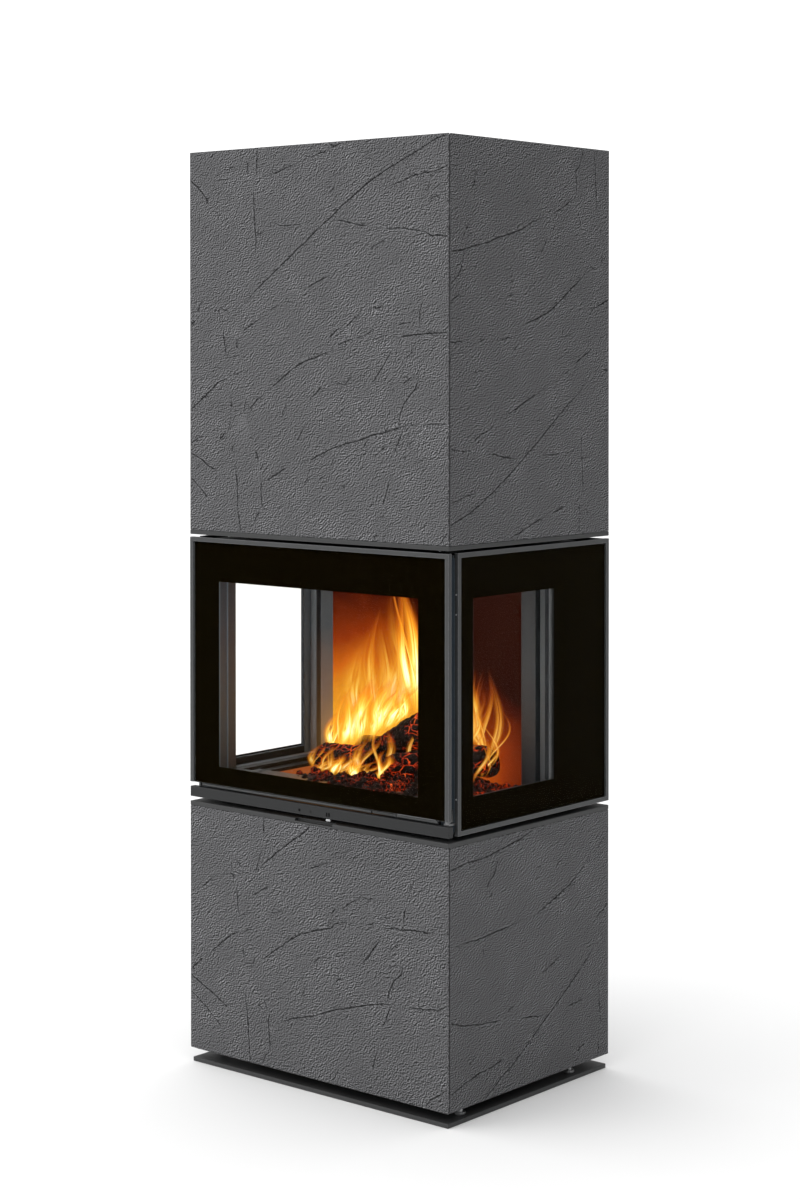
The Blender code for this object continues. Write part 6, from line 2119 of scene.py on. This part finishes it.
@dataclass
class Studio:
    """Camera, lights, sky and floor."""

    eye: Three = (2.860, -3.368, 1.313)
    azimuth: float = 40.3
    pitch: float = 89.2
    lens: float = 71.67
    shift: float = -0.1747
    front_light: float = 0.22
    side_dark: float = 0.62
    horizon: float = 0.52
    zenith: float = 1.22
    white: Four = (1.25, 1.25, 1.25, 1.0)
    key_place: Three = (-2.2, -3.6, 3.0)
    key_aim: Three = (0, 0, 1.0)
    key_size: float = 2.4
    key_power: float = 26.0
    key_colour: Three = (1.0, 0.99, 0.97)

    def camera(self) -> None:
        """Sets the camera at the picture's angle."""
        data = bpy.data.cameras.new("camera")
        data.lens, data.sensor_width, data.shift_y = self.lens, 36.0, self.shift
        data.clip_start, data.clip_end = 0.05, 100.0
        eye = bpy.data.objects.new("camera", data)
        eye.location = self.eye
        eye.rotation_euler = (math.radians(self.pitch), 0.0, math.radians(self.azimuth))
        bpy.context.scene.collection.objects.link(eye)
        bpy.context.scene.camera = eye

    def key_light(self) -> None:
        """Adds the soft square light in front on the left."""
        data = bpy.data.lights.new("key_light", "AREA")
        data.shape, data.size, data.energy, data.color = "SQUARE", self.key_size, self.key_power, self.key_colour
        lamp = bpy.data.objects.new("key_light", data)
        lamp.location = self.key_place
        lamp.rotation_euler = (Vector(self.key_aim) - Vector(self.key_place)).to_track_quat("-Z", "Y").to_euler()
        bpy.context.scene.collection.objects.link(lamp)

    def sky(self) -> None:
        """Makes a soft sky that the camera, and whoever looks through glass, sees as white."""
        world = bpy.data.worlds.new("studio")
        bpy.context.scene.world = world
        world.use_nodes = True
        graph = Graph(world.node_tree)
        x, y, z = graph.split(graph.add("ShaderNodeTexCoord").outputs["Generated"])
        level = graph.times_plus(graph.math("MAXIMUM", z, 0.0), self.zenith, self.horizon)
        level = graph.times_plus(y, -self.front_light, level)
        level = graph.math("MAXIMUM", graph.times_plus(x, -self.side_dark, level), 0.03)
        rays = graph.add("ShaderNodeLightPath")
        mirrored = graph.times(rays.outputs["Is Glossy Ray"], 0.45)
        level = graph.times(level, graph.minus(1.0, mirrored))
        seen = graph.math("MAXIMUM", rays.outputs["Is Camera Ray"], rays.outputs["Is Transmission Ray"])
        soft = graph.blend(seen, graph.join(level, level, level), self.white)
        background = world.node_tree.nodes["Background"]
        graph.feed(background.inputs["Color"], soft)

    def floor(self) -> None:
        """Lays a plain pale floor."""
        material, graph, shader = new_material("studio_floor")
        mottle = graph.spread(graph.noise(graph.here(), 1.3, 3.0), 0.3, 0.7, 0.995, 1.0)
        graph.fill(shader, Base_Color=graph.tint((0.86, 0.86, 0.86), mottle), Roughness=0.9, Specular_IOR_Level=0.0)
        rows = bmesh.new()
        bmesh.ops.create_grid(rows, x_segments=8, y_segments=8, size=18.0)
        mesh = bpy.data.meshes.new("studio_floor")
        rows.to_mesh(mesh)
        rows.free()
        mesh.materials.append(material)
        floor = bpy.data.objects.new("studio_floor", mesh)
        bpy.context.scene.collection.objects.link(floor)

    def build(self) -> None:
        """Sets the whole studio up."""
        for leftover in ("Cube", "Light", "Camera"):
            if leftover in bpy.data.objects:
                bpy.data.objects.remove(bpy.data.objects[leftover])
        self.camera()
        self.sky()
        self.floor()
        self.key_light()
        scene = bpy.context.scene
        scene.view_settings.view_transform = "Standard"
        scene.cycles.transparent_max_bounces = 64


def finishes() -> Finishes:
    """Builds every finish of the stove.

    Returns:
        The materials by use.
    """
    # Stops of the fire's light painted on the hearth.
    hearth_firelight = ((0.0, (0.34, 0.085, 0.018)), (0.5, (0.26, 0.055, 0.012)), (1.0, (0.05, 0.010, 0.002)))
    kinds = {
        "stone": SplitStone(),
        "paint": PaintedSteel(tone=0.046, edge=4.0, warm=-0.03, shine=0.4, round_over=0.0018),
        "plate": PaintedSteel("plate_paint", 0.034, 0.50, edge=2.0, shine=0.4, round_over=0.0015),
        "base": PaintedSteel("base_paint", 0.034, 0.5, dust=0.12),
        "sill": PaintedSteel("sill_paint", 0.016, 0.5, edge=4.0, warm=-0.04, dust=0.1, shine=0.3),
        # The chamber, wall and rim paints have the fire's light painted on as emission; the chamber paint is also
        # lighter than the outer paint, against the shade inside the chamber.
        "chamber": PaintedSteel("chamber_paint", 0.082, 0.48, edge=2.0, warm=-0.12, dust=0.0, glow=0.10),
        "bead": PaintedSteel("bead_paint", 0.030, 0.6, edge=0.5, warm=-0.10, dust=0.0, shine=0.1),
        # Light paints: painted light on the plates over faces in shade, and a painted highlight on the ribs.
        "strip": PaintedSteel("strip_paint", 0.085, 0.5, edge=1.0, warm=-0.02, dust=0.0),
        "reveal": PaintedSteel("reveal_paint", 0.105, 0.46, edge=2.0, warm=-0.24, dust=0.0),
        "rib_and_plate_painted_light": PaintedSteel("rib_paint", 0.240, 0.46, edge=0.0, warm=-0.25, dust=0.0),
        "wall": PaintedSteel("chamber_wall_paint", 0.030, 0.52, edge=1.5, warm=-0.15, dust=0.0, glow=0.45),
        "rim": PaintedSteel("rim_paint", 0.020, 0.6, edge=0.5, warm=0.05, dust=0.0, glow=0.45,
                            reach=(0.20, 0.60, 0.30), middle=-0.02, shine=0.1),
        "mark": PaintedSteel("mark_paint", 0.008, 0.5, edge=0.0, dust=0.0, shine=0.0),
        "pale_mark": PaintedSteel("pale_mark_paint", 0.010, 0.5, edge=0.0, dust=0.0, shine=0.25),
        "bright": Metal("bright_steel", 0.50, 0.34, 0.05, 0.25),
        "dull": Metal("dull_steel", 0.20, 0.42, 0.05, 0.2),
        "galvanised": Metal("galvanised_sheet", 0.42, 0.38, 0.45, 0.08),
        "iron": CastFinish("cast_iron", (0.030, 0.027, 0.026), 700.0, 0.0006, 0.7, 0.25, 0.5),
        "brick": CastFinish("firebrick", (0.34, 0.25, 0.17), 330.0, 0.0006, 0.86, 0.2, 0.8),
        "storage": CastFinish("storage_stone", (0.27, 0.25, 0.23), 260.0, 0.0007, 0.86, 0.3),
        "lining": GlowingBrick(),
        "hearth": GlowingBrick("glowing_hearth", 0.34, 0.30, 1.0, hearth_firelight),
        "inner_glass": ClearGlass("inner_glass"),
        "outer_glass": ClearGlass("outer_glass"),
        "print": GlassPrint(),
        "rope": RopeFinish(),
    }
    return {use: kind.build() for use, kind in kinds.items()}


def main() -> None:
    """Builds the visual model in order."""
    logging.basicConfig(level=logging.INFO, format="%(message)s")
    Studio().build()
    made = finishes()
    Pedestal().build(made)
    StorageBlock().build(made)
    Firebox().build(made)
    Door().build(made)
    Fittings().build(made["bright"], made["plate"])
    SillMarks().build(made["mark"], made["pale_mark"])
    Fire().build()


if __name__ == "__main__":
    main()
